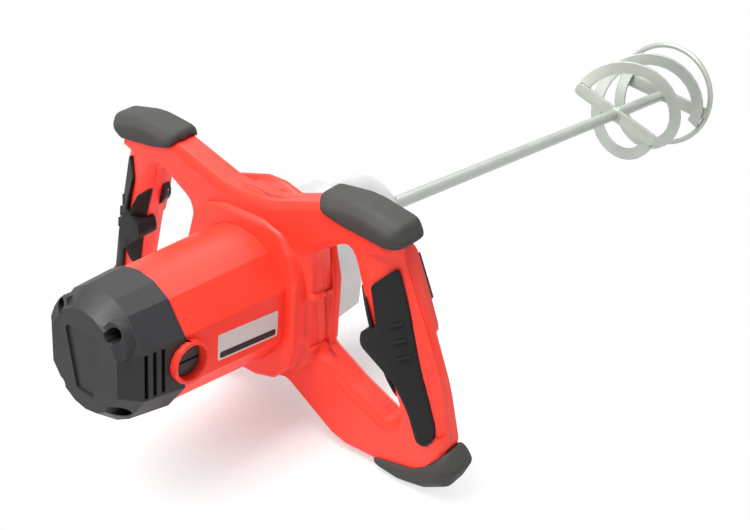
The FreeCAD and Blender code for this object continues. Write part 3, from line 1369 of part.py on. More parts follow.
def rest_placement(pieces):
    """Tilts the tool about X until ring and lower bumpers are level, then puts the floor at Z = 0."""
    frame_tilt = math.radians(FRAME_TILT)
    foot_y = FRAME_Y + FOOT_DEPTH * math.sin(frame_tilt)
    foot_drop = FOOT_DEPTH * math.cos(frame_tilt)
    tilt = math.atan2(foot_drop - PADDLE_D / 2, RING_Y - foot_y)
    flat = RING_BAR_D / 2 * math.tan(math.pi / RING_FLATS)
    lift = (RING_Y + flat) * math.sin(tilt) + PADDLE_D / 2 * math.cos(tilt)
    turn = FreeCAD.Rotation(Vector(1, 0, 0), -math.degrees(tilt))
    ends = [pieces[name].copy() for name in ("rear_cap", "paddle_end_ring")]
    for end in ends:
        end.Placement = FreeCAD.Placement(Vector(0, 0, lift), turn).multiply(end.Placement)
    bounds = Part.makeCompound(ends).BoundBox
    return FreeCAD.Placement(Vector(0, -bounds.Center.y, lift), turn)


def laid_down(shape, placement):
    laid = shape.copy()
    laid.Placement = placement.multiply(laid.Placement)
    return laid


def print_axes(placement):
    """Where each moving piece turns or slides, in the finished frame."""
    frame = FreeCAD.Placement(Vector(0, FRAME_Y, 0), FreeCAD.Rotation(Vector(1, 0, 0), FRAME_TILT))
    along = Vector(0, 1, 0)
    axes = {
        "spindle": (Vector(0, GEAR_2_Y0, 0), along),
        "lay_shaft": (Vector(LAY_X, GEAR_1_Y0, LAY_Z), along),
        "armature": (Vector(0, CORE_Y0, MOTOR_Z), along),
    }
    in_handle = {
        "trigger": (Vector(TRIGGER_U, BULGE_V, TRIGGER_W), Vector(0, -1, 0)),
        "lock_button": (Vector(opening_edge(BUTTON_W), BUTTON_V, BUTTON_W), Vector(1, 0, 0)),
        "speed_dial": (Vector(dial_u(), DIAL_V, DIAL_W), along),
    }
    for name, (point, direction) in in_handle.items():
        axes[name] = (frame.multVec(point), frame.Rotation.multVec(direction))
    for name, (point, direction) in axes.items():
        at = placement.multVec(point)
        way = placement.Rotation.multVec(direction)
        print("axis", name, [round(c, 4) for c in at], [round(c, 6) for c in way])


def main():
    os.makedirs("parts", exist_ok=True)
    pieces = all_pieces()
    placement = rest_placement(pieces)
    below = box(-500.0, 500.0, -500.0, 500.0, -50.0, 0.0)
    for name, shape in pieces.items():
        laid = laid_down(shape, placement)
        if name.startswith("bottom_bumper"):
            laid = laid.cut(below)
        laid.exportStep("parts/" + name + ".step")
        print(name, "solids", len(laid.Solids), "valid", laid.isValid(), "volume", round(laid.Volume))
    print_axes(placement)


main()
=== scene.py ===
import json
import math

import bmesh
import bpy
from bpy.props import FloatProperty, FloatVectorProperty, PointerProperty, StringProperty
from mathutils import Matrix, Vector
from mathutils.bvhtree import BVHTree


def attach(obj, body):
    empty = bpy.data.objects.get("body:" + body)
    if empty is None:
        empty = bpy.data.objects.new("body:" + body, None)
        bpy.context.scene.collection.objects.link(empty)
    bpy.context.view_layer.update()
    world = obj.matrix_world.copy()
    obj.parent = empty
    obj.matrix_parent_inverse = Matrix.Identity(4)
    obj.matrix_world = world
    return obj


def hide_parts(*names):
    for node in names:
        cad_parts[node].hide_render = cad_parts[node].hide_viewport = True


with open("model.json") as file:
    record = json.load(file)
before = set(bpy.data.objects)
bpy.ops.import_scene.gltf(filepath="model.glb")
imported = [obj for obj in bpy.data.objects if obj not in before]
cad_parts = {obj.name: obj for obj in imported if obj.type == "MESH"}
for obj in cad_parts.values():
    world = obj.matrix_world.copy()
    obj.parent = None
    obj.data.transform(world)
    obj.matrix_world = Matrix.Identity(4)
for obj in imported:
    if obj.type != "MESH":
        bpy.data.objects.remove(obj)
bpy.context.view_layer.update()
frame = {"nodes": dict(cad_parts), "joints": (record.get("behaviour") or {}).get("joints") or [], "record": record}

bl_info = {
    "name": "Mixing drill",
    "version": (1, 0, 0),
    "blender": (4, 5, 0),
    "location": "View3D > Sidebar > Mixing drill",
    "description": "Finishes the two-handed mixing drill and its stirrer for a studio picture",
    "category": "Object",
}

MM = 0.001
TINY = 0.001 * MM

# The tool's own frame, as the part is drawn, in millimetres: Y along the spindle, X to the trigger grip
# and Z away from the floor
SPIN = next(j for j in frame["joints"] if j["name"] == "spindle_spin")
ALONG = Vector(SPIN["axis"]).normalized()
UP = Vector((0.0, -ALONG.z, ALONG.y))
SPINDLE_GEAR_Y = 45.0
ORIGIN = Vector(SPIN["pos_m"]) - ALONG * SPINDLE_GEAR_Y * MM
TOOL = Matrix((
    (MM, 0.0, 0.0, ORIGIN.x),
    (0.0, ALONG.y * MM, UP.y * MM, ORIGIN.y),
    (0.0, ALONG.z * MM, UP.z * MM, ORIGIN.z),
    (0.0, 0.0, 0.0, 1.0),
))

# The handle frame leans in the tool's frame: u across it, v through it and w up it
FRAME_TILT = 8.0
FRAME_Y = 15.0
LEAN = Matrix.Rotation(math.radians(FRAME_TILT), 4, "X")
HANDLE = TOOL @ Matrix.Translation((0.0, FRAME_Y, 0.0)) @ LEAN


# Colours and materials

WHITE = (1.0, 1.0, 1.0, 1.0)
# Range that nearly all of a noise texture lies in, and a grain's depth as a share of its width
NOISE_LOW = 0.3
NOISE_HIGH = 0.7
GRAIN_DEPTH = 0.5
LEAST_ROUGH = 0.05


def linear(code):
    """Linear colour of an sRGB hex value."""
    channels = [int(code[i:i + 2], 16) / 255.0 for i in (1, 3, 5)]
    return tuple(c / 12.92 if c <= 0.04045 else ((c + 0.055) / 1.055) ** 2.4 for c in channels) + (1.0,)


def add(tree, kind, settings=None, **links):
    """A node with its settings, its constant inputs and its links from other nodes' outputs.

    An input is given by its name, or by its number after an i."""
    node = tree.nodes.new(kind)
    for name, value in (settings or {}).items():
        setattr(node, name, value)
    for name, value in links.items():
        numbered = name[0] == "i" and name[1:].isdigit()
        socket = node.inputs[int(name[1:])] if numbered else node.inputs[name]
        if isinstance(value, bpy.types.NodeSocket):
            tree.links.new(value, socket)
        else:
            socket.default_value = value
    return node


def surface(name, light, dark, rough, grain_mm, bump, metallic=0.0, ior=1.5, specular=0.5, patch_mm=40.0,
            spread=0.08, round_mm=0.0):
    """Principled material whose colour drifts between two tones over a patch size, with a grain in its bump.

    The real grains are about 0.1 mm and would not show, so they are drawn as coarse as grain_mm says.
    A rounding makes light run over the moulded edges that are too fine to be modelled."""
    material = bpy.data.materials.new(name)
    material.use_nodes = True
    tree = material.node_tree
    shader = tree.nodes["Principled BSDF"]
    place = add(tree, "ShaderNodeTexCoord").outputs["Object"]
    patches = add(tree, "ShaderNodeTexNoise", Vector=place, Scale=1.0 / (patch_mm * MM), Detail=4.0)
    grain = add(tree, "ShaderNodeTexNoise", Vector=place, Scale=1.0 / (grain_mm * MM), Detail=2.0)
    patch = patches.outputs["Fac"]
    tone = add(tree, "ShaderNodeMix", {"data_type": "RGBA"}, i0=patch, i6=linear(dark), i7=linear(light))
    gloss = add(tree, "ShaderNodeMapRange", Value=patch, **{
        "From Min": NOISE_LOW,
        "From Max": NOISE_HIGH,
        "To Min": max(rough - spread, LEAST_ROUGH),
        "To Max": min(rough + spread, 1.0),
    })
    relief = add(tree, "ShaderNodeBump", Height=grain.outputs["Fac"], Strength=bump,
                 Distance=grain_mm * MM * GRAIN_DEPTH)
    if round_mm > 0.0:
        edge = add(tree, "ShaderNodeBevel", {"samples": 4}, Radius=round_mm * MM)
        tree.links.new(edge.outputs["Normal"], relief.inputs["Normal"])
    tree.links.new(tone.outputs[2], shader.inputs["Base Color"])
    tree.links.new(gloss.outputs["Result"], shader.inputs["Roughness"])
    tree.links.new(relief.outputs["Normal"], shader.inputs["Normal"])
    shader.inputs["Metallic"].default_value = metallic
    if metallic == 0.0:
        shader.inputs["IOR"].default_value = ior
        shader.inputs["Specular IOR Level"].default_value = specular
    return material


def straight_sight(tree):
    """Socket that is one where the camera, a reflection or a clear body looks at a surface."""
    path = add(tree, "ShaderNodeLightPath")
    mirrored = add(tree, "ShaderNodeMath", {"operation": "MAXIMUM"}, i0=path.outputs["Is Glossy Ray"],
                   i1=path.outputs["Is Transmission Ray"])
    either = add(tree, "ShaderNodeMath", {"operation": "MAXIMUM"}, i0=path.outputs["Is Camera Ray"],
                 i1=mirrored.outputs[0])
    return either.outputs[0]


def make_materials():
    """The finishes of the tool, each named for what it is and how it was made."""
    look = bpy.context.scene.mixer_look
    made = {}
    # ABS, injection moulded: an even satin red whose spark-eroded mould leaves a fine grain
    made["red"] = surface("Satin moulded ABS, red", look.red, look.red_deep, rough=0.42, grain_mm=0.6,
                          bump=0.05, ior=1.53, specular=0.29, round_mm=1.2)
    # Glass-filled polyamide, moulded: dark grey, rougher than the red, with a coarser, scattering grain
    made["dark"] = surface("Grained moulded polyamide, dark grey", look.cap, look.cap_deep, rough=0.48,
                           grain_mm=0.7, bump=0.1, ior=1.53, specular=0.38, round_mm=0.8)
    # Thermoplastic rubber, moulded over the corners: matt, dusty grey-black with a leather-like grain
    made["rubber"] = surface("Matt moulded rubber, charcoal", look.rubber, look.rubber_deep, rough=0.72,
                             grain_mm=0.9, bump=0.22, ior=1.52)
    # Softer rubber of the palm pads, moulded over the grips: nearly black, matt with a slight sheen
    made["pad"] = surface("Matt overmoulded soft rubber, black", look.pad, look.pad_deep, rough=0.6,
                          grain_mm=0.7, bump=0.15, ior=1.52, specular=0.22)
    # Pressure die-cast aluminium, bead blasted: pale grey, broad soft highlights
    made["cast"] = surface("Bead-blasted cast aluminium", "#D2D2D2", "#BDBDBE", rough=0.48, grain_mm=0.8,
                           bump=0.12, metallic=0.6, round_mm=1.5)
    # Mild steel with bright zinc plating: pale, slightly green grey with small patches of gloss
    made["zinc"] = surface("Bright zinc-plated steel", "#B9C0B8", "#A3AAA2", rough=0.42, grain_mm=2.0,
                           bump=0.02, metallic=0.6, patch_mm=30.0, spread=0.04)
    # Ground and oiled steel of shafts and bearings
    made["steel"] = surface("Ground steel", "#A9A9AA", "#8C8C8E", rough=0.35, grain_mm=0.5, bump=0.05,
                            metallic=1.0)
    # Screw steel, blackened in a hot bath: dark grey with a dull shine
    made["black_steel"] = surface("Blackened steel", "#4A4A4B", "#2E2E2F", rough=0.42, grain_mm=0.5,
                                  bump=0.05, metallic=0.9)
    # Phenolic resin of the brush caps, pressed in a mould: black, smooth, with a dull shine
    made["phenolic"] = surface("Moulded phenolic, black", "#232324", "#1A1A1B", rough=0.4, grain_mm=0.6,
                               bump=0.04)
    # Copper wire and bars under baked enamel
    made["copper"] = surface("Enamelled copper", "#B8683A", "#8F4A25", rough=0.38, grain_mm=0.8, bump=0.1,
                             metallic=0.9)
    # Carbon of the brushes, pressed from powder: dull black
    made["carbon"] = surface("Pressed carbon", "#262626", "#181818", rough=0.65, grain_mm=0.5, bump=0.1)
    # Polyester film of the plain rating plate: pale grey with a soft gloss
    made["film"] = surface("Satin polyester film, silver grey", "#C9C9C8", "#BEBEBE", rough=0.4, grain_mm=0.8,
                           bump=0.02)
    return made


MATERIALS = {}
SLOT_FINISH = {
    "red_housing": "red",
    "dark_plastic": "dark",
    "rubber": "rubber",
    "soft_grip": "pad",
    "cast_aluminium": "cast",
    "galvanised_steel": "zinc",
    "steel": "steel",
    "copper": "copper",
    "carbon": "carbon",
}


# Mesh helpers

# Loose corners closer than this are one, and faces flatter than this angle are one
WELD_MM = 0.002
FLAT_ANGLE = 0.5


def body_of_node(node):
    """Moving body that a CAD node belongs to."""
    return next(b for b, nodes in frame["record"]["behaviour"]["bodies"].items() if node in nodes)


def slot_of_node(node):
    """Material slot of a CAD node."""
    return next(s["material_slot"] for s in frame["record"]["subparts"] if s["node"] == node)


def merged_node(node):
    """A node's mesh with its loose triangles joined to the flat faces they came from."""
    bm = bmesh.new()
    bm.from_mesh(frame["nodes"][node].data)
    bmesh.ops.remove_doubles(bm, verts=bm.verts[:], dist=WELD_MM * MM)
    bmesh.ops.dissolve_limit(bm, angle_limit=math.radians(FLAT_ANGLE), verts=bm.verts[:], edges=bm.edges[:])
    return bm


def edges_of(verts):
    """Edges that meet some vertices, in a fixed order."""
    return list(dict.fromkeys(e for v in verts for e in v.link_edges))


def verts_in(geom):
    """The vertices in an operator's result."""
    return [v for v in geom if isinstance(v, bmesh.types.BMVert)]


def face_outwards(bm):
    """Turns all the faces of a mesh outwards."""
    bmesh.ops.recalc_face_normals(bm, faces=bm.faces[:])


def move_all(bm, matrix):
    """Moves a whole mesh by a matrix."""
    bmesh.ops.transform(bm, matrix=matrix, verts=bm.verts[:])


def round_edges(bm, edges, width, segments):
    """Rounds some edges of a mesh, with a width in the mesh's own unit."""
    return bmesh.ops.bevel(bm, geom=edges, offset=width, offset_type="OFFSET", segments=segments, profile=0.5,
                           affect="EDGES", clamp_overlap=False, material=-1)


def sharper_edges(bm, angle):
    """Edges between two faces that meet at more than an angle."""
    return [e for e in bm.edges if len(e.link_faces) == 2 and e.calc_face_angle() > math.radians(angle)]


def finish_piece(bm, name, body, finish, replaced=(), crease=40.0):
    """Turns a bmesh into a piece that rides on a body, smooth but for its creases."""
    mesh = bpy.data.meshes.new(name)
    for face in bm.faces:
        face.smooth = True
    bm.to_mesh(mesh)
    bm.free()
    mesh.set_sharp_from_angle(angle=math.radians(crease))
    mesh.materials.append(MATERIALS[finish])
    piece = bpy.data.objects.new(name, mesh)
    bpy.context.scene.collection.objects.link(piece)
    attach(piece, body)
    if replaced:
        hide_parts(*replaced)
    return piece


def even_shading(piece):
    """Keeps broad faces flat to the eye where they run into rounded edges."""
    shade = piece.modifiers.new("even shading", "WEIGHTED_NORMAL")
    shade.keep_sharp = True
    shade.weight = 80


def rounded_node(node, width_mm=0.0, finish=None, least_angle=35.0, crease=50.0, reshape=None):
    """A piece in place of a CAD node, reshaped if a rule is given, with its outward edges rounded if a width is
    given.
    """
    slot = slot_of_node(node)
    bm = merged_node(node)
    if reshape:
        reshape(bm)
    if width_mm > 0.0:
        outward = [e for e in sharper_edges(bm, least_angle) if e.is_convex]
        round_edges(bm, outward, width_mm * MM, segments=3)
    finish = finish or SLOT_FINISH[slot]
    even_shading(finish_piece(bm, node + "_moulded", body_of_node(node), finish, [node], crease))


def skin_of(node):
    """Search tree of a node's surface, to set small pieces on it."""
    bm = merged_node(node)
    tree = BVHTree.FromBMesh(bm)
    bm.free()
    return tree


def landed(tree, start, way):
    """Where a line from a point meets a surface, in metres."""
    place = tree.ray_cast(start, way.normalized())[0]
    if place is None:
        raise RuntimeError("a small piece misses the surface that carries it")
    return place


# Rubber bumpers, in millimetres: how far their inner and outer ends are stretched along X, the grid that
# their edges melt on, the rounds of melting and the swell that makes up for them
BUMPER_IN = 5.0
BUMPER_OUT = 2.5
BUMPER_GRID = 1.1
BUMPER_ROUNDS = 30
BUMPER_SWELL = 1.5


def cushioned_bumper(node):
    """A bumper in place of its CAD node, whose edges melt into each other as thick rubber does."""
    slot = slot_of_node(node)
    name = node + "_moulded"
    bm = merged_node(node)
    side = math.copysign(1.0, bm.verts[:][0].co.x)
    reach = sorted(abs(v.co.x) for v in bm.verts)
    for vertex in bm.verts:
        share = (abs(vertex.co.x) - reach[0]) / (reach[-1] - reach[0])
        vertex.co.x += side * MM * (BUMPER_OUT * share - BUMPER_IN * (1.0 - share))
    piece = finish_piece(bm, name, body_of_node(node), SLOT_FINISH[slot], [node])
    grid = piece.modifiers.new("even grid", "REMESH")
    grid.mode = "VOXEL"
    grid.voxel_size = BUMPER_GRID * MM
    melt = piece.modifiers.new("melted edges", "SMOOTH")
    melt.factor = 0.5
    melt.iterations = BUMPER_ROUNDS
    swell = piece.modifiers.new("swell", "DISPLACE")
    swell.strength = BUMPER_SWELL * MM
    swell.mid_level = 0.0
    settled = bpy.data.meshes.new_from_object(piece.evaluated_get(bpy.context.evaluated_depsgraph_get()))
    piece.modifiers.clear()
    piece.data = settled
    settled.name = name
    for vertex in settled.vertices:
        vertex.co.z = max(vertex.co.z, 0.0)
    for polygon in settled.polygons:
        polygon.use_smooth = True


# Rear of the barrel in the tool's frame: rims of barrel and cap, brush ports and brush caps, screw wells
BARREL_Z = -24.0
BRUSH_Y = -103.0
RIM_Y = -100.0
CAP_RIM_Y = -106.5
RIM_SLACK = 0.3
PORT_X = 52.0
PORT_FACE_SLACK = 0.05
PORT_BORE_R = 11.5
PORT_MOUTH_R = 13.6
BRUSH_CAP_X = 45.0
BRUSH_CAP_SUNK = 2.5
WELL_X = 28.0
WELL_Z = 30.0
WELL_R = 5.4
WELL_CORNERS = 28

# Bosses round the upper wells, about the barrel's axis: outline, rear and front, and how their outer
# corners lean forward beyond a reach along the cap's bevelled corner
BOSS_OUTLINE = [
    (19.0, 33.0), (23.0, 38.5), (28.0, 38.0), (34.0, 32.5),
    (39.0, 25.0), (40.5, 17.0), (36.0, 13.0), (29.0, 21.0),
]
BOSS_REAR_Y = -154.2
BOSS_FRONT_Y = -127.0
BOSS_LEAN = 0.5
CORNER_X = 0.74
CORNER_Z = 0.67
CORNER_REACH = 35.5


def in_tool_frame(bm, change):
    """Moves a mesh's points by a rule that works in the tool's own frame."""
    back = TOOL.inverted()
    for vertex in bm.verts:
        place = back @ vertex.co
        change(place)
        vertex.co = TOOL @ place
    bmesh.ops.dissolve_degenerate(bm, dist=TINY, edges=bm.edges[:])


def flared_port(place):
    """Widens the mouth of a brush port to a thin rim."""
    arm = Vector((place.y - BRUSH_Y, place.z - BARREL_Z))
    if abs(abs(place.x) - PORT_X) < PORT_FACE_SLACK and abs(arm.length - PORT_BORE_R) < RIM_SLACK:
        arm *= PORT_MOUTH_R / arm.length
        place.y = BRUSH_Y + arm.x
        place.z = BARREL_Z + arm.y


def longer_barrel(place):
    """Carries the barrel's rear rim on to where the cap ends."""
    if abs(place.y - RIM_Y) < RIM_SLACK:
        place.y = CAP_RIM_Y
    flared_port(place)


def shorter_cap(place):
    """Ends the rear cap behind the middle of the brush ports."""
    place.y = min(place.y, CAP_RIM_Y)


def sunk_cap(place):
    """Sinks the outer face of a brush cap deep into its port."""
    if abs(place.x) > BRUSH_CAP_X:
        place.x -= math.copysign(BRUSH_CAP_SUNK, place.x)


def cap_boss(bm, side):
    """Boss round a screw well at the cap's upper corner, flat but for its leaning outer side."""
    corners = [bm.verts.new((side * x, BOSS_REAR_Y, BARREL_Z + z)) for x, z in BOSS_OUTLINE]
    edges = [bm.edges.new(pair) for pair in zip(corners, corners[1:] + corners[:1])]
    centre = Matrix.Translation((side * WELL_X, BOSS_REAR_Y, BARREL_Z + WELL_Z))
    rim = bmesh.ops.create_circle(bm, segments=WELL_CORNERS, radius=WELL_R,
                                  matrix=centre @ Matrix.Rotation(math.pi / 2, 4, "X"))["verts"]
    filled = bmesh.ops.triangle_fill(bm, edges=edges + edges_of(rim), use_beauty=True)["geom"]
    faces = [f for f in filled if isinstance(f, bmesh.types.BMFace)]
    moved = verts_in(bmesh.ops.extrude_face_region(bm, geom=faces)["geom"])
    bmesh.ops.translate(bm, verts=moved, vec=(0.0, BOSS_FRONT_Y - BOSS_REAR_Y, 0.0))
    for vertex in corners + rim:
        out = side * vertex.co.x * CORNER_X + (vertex.co.z - BARREL_Z) * CORNER_Z - CORNER_REACH
        vertex.co.y = BOSS_REAR_Y + BOSS_LEAN * max(out, 0.0)


# Rating plate and the band on it: rear low and front high corner on the barrel's side, finish and lift,
# in the tool's frame
PLATES = (
    ("rating_plate", (-75.0, -36.0), (-17.0, -15.0), "film", 0.25),
    ("rating_plate_band", (-73.0, -34.5), (-19.0, -29.5), "dark", 0.4),
)
PLATE_START_X = 90.0
PLATE_CORNER_R = 1.5
PLATE_THICKNESS = 0.6


def plate(barrel, name, low, high, finish, lift):
    """Thin plate with round corners that lies on the side of the barrel."""
    bm = bmesh.new()
    corners = []
    for y, z in (low, (high[0], low[1]), high, (low[0], high[1])):
        spot = landed(barrel, TOOL @ Vector((PLATE_START_X, y, z)), Vector((-1.0, 0.0, 0.0)))
        corners.append(bm.verts.new(spot + Vector((lift * MM, 0.0, 0.0))))
    bm.faces.new(corners)
    bmesh.ops.bevel(bm, geom=bm.verts[:], offset=PLATE_CORNER_R * MM, offset_type="OFFSET", segments=4,
                    profile=0.5, affect="VERTICES", material=-1)
    bmesh.ops.solidify(bm, geom=bm.faces[:], thickness=PLATE_THICKNESS * MM)
    face_outwards(bm)
    finish_piece(bm, name, "housing", finish)


# Stirrer in the tool's frame. Crossbars: place along the rod, turn in degrees and length
CROSSBARS = {
    "paddle_near_crossbar": (563.0, 161.0, 110.0),
    "paddle_far_crossbar": (675.0, 171.0, 116.0),
}
BAR_THICKNESS = 4.0
BAR_WIDTH = 14.0
BAR_END_R = 6.0
BAR_EDGE = 0.5
BAR_RIM_ANGLE = 60.0
ROD_EDGE_ANGLE = 50.0
# Rings round the rod's axis: radius, radius of the bar and place along the rod
END_RING = (57.0, 3.0, 679.0)
WELD_BEADS = [(6.3, 1.5, y) for y in (560.6, 565.4, 672.6)]
RING_WELD = 0.01


def crossbar(node):
    """Flat steel bar with rounded ends, in place of a CAD crossbar."""
    y, turn, length = CROSSBARS[node]
    bm = bmesh.new()
    bmesh.ops.create_cube(bm, size=1.0)
    bmesh.ops.scale(bm, vec=(length, BAR_THICKNESS, BAR_WIDTH), verts=bm.verts[:])
    ends = [e for e in bm.edges if abs(e.verts[0].co.y - e.verts[1].co.y) > BAR_THICKNESS / 2]
    round_edges(bm, ends, BAR_END_R, segments=6)
    round_edges(bm, sharper_edges(bm, BAR_RIM_ANGLE), BAR_EDGE, segments=2)
    place = Matrix.Translation((0.0, y, 0.0)) @ Matrix.Rotation(math.radians(-turn), 4, "Y")
    move_all(bm, TOOL @ place)
    finish_piece(bm, node + "_rounded", "spindle", "zinc", [node])


def rings(sizes, corners, steps, name, replaced=()):
    """A piece of round bars that are bent to full rings about the rod's axis."""
    bm = bmesh.new()
    for ring_r, bar_r, y in sizes:
        bar = bmesh.ops.create_circle(bm, segments=corners, radius=bar_r)["verts"]
        bmesh.ops.translate(bm, verts=bar, vec=(ring_r, y, 0.0))
        bmesh.ops.spin(bm, geom=bar + edges_of(bar), cent=(0, 0, 0), axis=(0, 1, 0), angle=math.tau,
                       steps=steps, use_merge=True)
    bmesh.ops.remove_doubles(bm, verts=bm.verts[:], dist=RING_WELD)
    move_all(bm, TOOL)
    face_outwards(bm)
    finish_piece(bm, name, "spindle", "zinc", replaced)


# Swell of the grips' backs towards the palm, in the handle's frame
PALM_SWELL = 8.0
PALM_INNER_U = 98.0
PALM_MID_W = -12.0
PALM_HALF_W = 62.0
PALM_SEAM_V = -6.0
PALM_DEEP_V = -20.0
PALM_CUTS = 20


def swell_palm(bm):
    """Lets the backs of both grips swell towards the palm."""
    back = HANDLE.inverted()
    for vertex in bm.verts:
        place = back @ vertex.co
        off = abs(place.z - PALM_MID_W) / PALM_HALF_W
        if abs(place.x) < PALM_INNER_U or off >= 1.0:
            continue
        depth = min(max((PALM_SEAM_V - place.y) / (PALM_SEAM_V - PALM_DEEP_V), 0.0), 1.0)
        place.y -= PALM_SWELL * depth * math.cos(off * math.pi / 2) ** 2
        vertex.co = HANDLE @ place


def cut_and_swell(bm):
    """Cuts a grip's long faces into short ones before they swell."""
    upwards = (HANDLE.to_3x3() @ Vector((0.0, 0.0, 1.0))).normalized()
    for step in range(1, PALM_CUTS):
        w = PALM_MID_W + PALM_HALF_W * (2.0 * step / PALM_CUTS - 1.0)
        bmesh.ops.bisect_plane(bm, geom=bm.verts[:] + bm.edges[:] + bm.faces[:], dist=TINY,
                               plane_co=HANDLE @ Vector((0.0, 0.0, w)), plane_no=upwards)
    swell_palm(bm)


# Finger strips on the bevel round the grip's opening, in the handle's frame: u, w and height up the bevel
STRIP_PATHS = {
    "upper": [(111.8, 26.0, 2.5), (114.9, 18.0, 7.5), (118.5, 9.0, 8.5), (122.8, -2.0, 8.5)],
    "lower": [(131.0, -25.5, 8.5), (136.0, -40.0, 8.5), (140.0, -51.5, 6.5), (142.4, -58.5, 2.0)],
}
STRIP_LOW = 0.6
STRIP_SUNK = 0.4
STRIP_EDGE = 0.6
STRIP_EDGE_ANGLE = 40.0
CHAMFER_V = -8.0
# Ridges on the palm pads, in the handle's frame: u and w, size, lean and turn in degrees
PAD_RIDGES = [(146.0, 8.0), (150.0, -4.0), (154.0, -16.0)]
RIDGE_SIZE = (9.0, 2.2, 2.0)
RIDGE_LEAN = 30.0
RIDGE_TURN = -14.0
RIDGE_EDGE = 0.35
RIDGE_START_V = -60.0


def finger_strip(path, side, proud, name):
    """Soft strip lying on the bevel round the grip's opening."""
    way = Vector((path[-1][0] - path[0][0], 0.0, path[-1][1] - path[0][1])).normalized()
    inwards = Vector((-way.z, 0.0, way.x))
    bm = bmesh.new()
    rows = []
    for u, w, high in path:
        row = []
        for step in (STRIP_LOW, high):
            place = Vector((u, CHAMFER_V - step, w)) + inwards * step
            row.append(bm.verts.new(place))
        rows.append(row)
    for (a, b), (c, d) in zip(rows, rows[1:]):
        bm.faces.new((a, c, d, b))
    face_outwards(bm)
    lift = (Vector((0.0, -1.0, 0.0)) - inwards).normalized() * proud / MM
    below = bm.verts[:]
    raised = bmesh.ops.extrude_face_region(bm, geom=bm.faces[:])["geom"]
    bmesh.ops.translate(bm, verts=verts_in(raised), vec=lift)
    bmesh.ops.translate(bm, verts=below, vec=-lift * STRIP_SUNK)
    face_outwards(bm)
    round_edges(bm, sharper_edges(bm, STRIP_EDGE_ANGLE), STRIP_EDGE, segments=3)
    move_all(bm, HANDLE @ Matrix.Diagonal((side, 1.0, 1.0, 1.0)))
    face_outwards(bm)
    swell_palm(bm)
    finish_piece(bm, name, "housing", "pad")


def ridge(bm, pad, side, u, w):
    """Small rounded bar across a palm pad, half sunk in it."""
    turned = HANDLE.to_3x3()
    place = landed(pad, HANDLE @ Vector((side * u, RIDGE_START_V, w)), turned @ Vector((0.0, 1.0, 0.0)))
    made = bmesh.ops.create_cube(bm, size=1.0)["verts"]
    lean = Matrix.Rotation(math.radians(RIDGE_LEAN * side), 4, "Z")
    turn = Matrix.Rotation(math.radians(RIDGE_TURN * side), 4, "Y")
    bmesh.ops.scale(bm, vec=RIDGE_SIZE, verts=made)
    bmesh.ops.transform(bm, matrix=lean @ turn, verts=made)
    rounded = round_edges(bm, edges_of(made), RIDGE_EDGE, segments=2)["verts"]
    bmesh.ops.transform(bm, matrix=Matrix.Translation(place) @ turned.to_4x4(), verts=rounded)


# Scale round the rim of the speed dial: plain bars that grow wider, with their step in degrees
DIAL_MARKS = 6
DIAL_STEP = 54.0
DIAL_MARK_SIZE = (0.5, 1.4, 1.4)
DIAL_MARK_GROWTH = 0.7
DIAL_START_R = 40.0


def dial_marks():
    """Plain bars round the speed dial, one for each setting."""
    joint = next(j for j in frame["joints"] if j["name"] == "speed_dial_turn")
    axis = Vector(joint["axis"]).normalized()
    centre = Vector(joint["pos_m"])
    skin = skin_of("speed_dial")
    deep, wide, tall = DIAL_MARK_SIZE
    bm = bmesh.new()
    for step in range(DIAL_MARKS):
        out = Matrix.Rotation(math.radians(-DIAL_STEP * step), 3, axis) @ Vector((1.0, 0.0, 0.0))
        spot = landed(skin, centre + out * DIAL_START_R * MM, -out)
        made = bmesh.ops.create_cube(bm, size=MM)["verts"]
        bmesh.ops.scale(bm, vec=(deep, wide + DIAL_MARK_GROWTH * step, tall), verts=made)
        turn = Matrix((out, axis, out.cross(axis))).transposed().to_4x4()
        bmesh.ops.transform(bm, matrix=Matrix.Translation(spot) @ turn, verts=made)
    face_outwards(bm)
    finish_piece(bm, "dial_marks", "speed_dial", "film")


# Studio: places and sizes in metres, lamp powers in watts, camera turn in degrees, lens in millimetres
FLOOR_HALF = 30.0
SHADOW_CENTRE = (-0.01, -0.165, 0.0)
SHADOW_FADE = {"From Min": 0.06, "From Max": 0.28, "To Min": 0.34, "To Max": 1.0}
AIR_LIGHT = {"To Min": 0.33, "To Max": 1.0}
LAMPS = (
    ("key_softbox", (-0.3, -0.95, 2.15), 1.4, 82.0),
    ("back_softbox", (-0.4, 0.9, 1.9), 1.8, 18.0),
)
LAMP_AIM = Vector((0.0, -0.1, 0.1))
CAMERA_PLACE = (0.5815, -0.8, 0.6081)
CAMERA_TURN = (59.04, 0.0, 40.16)
CAMERA_LENS = 57.52


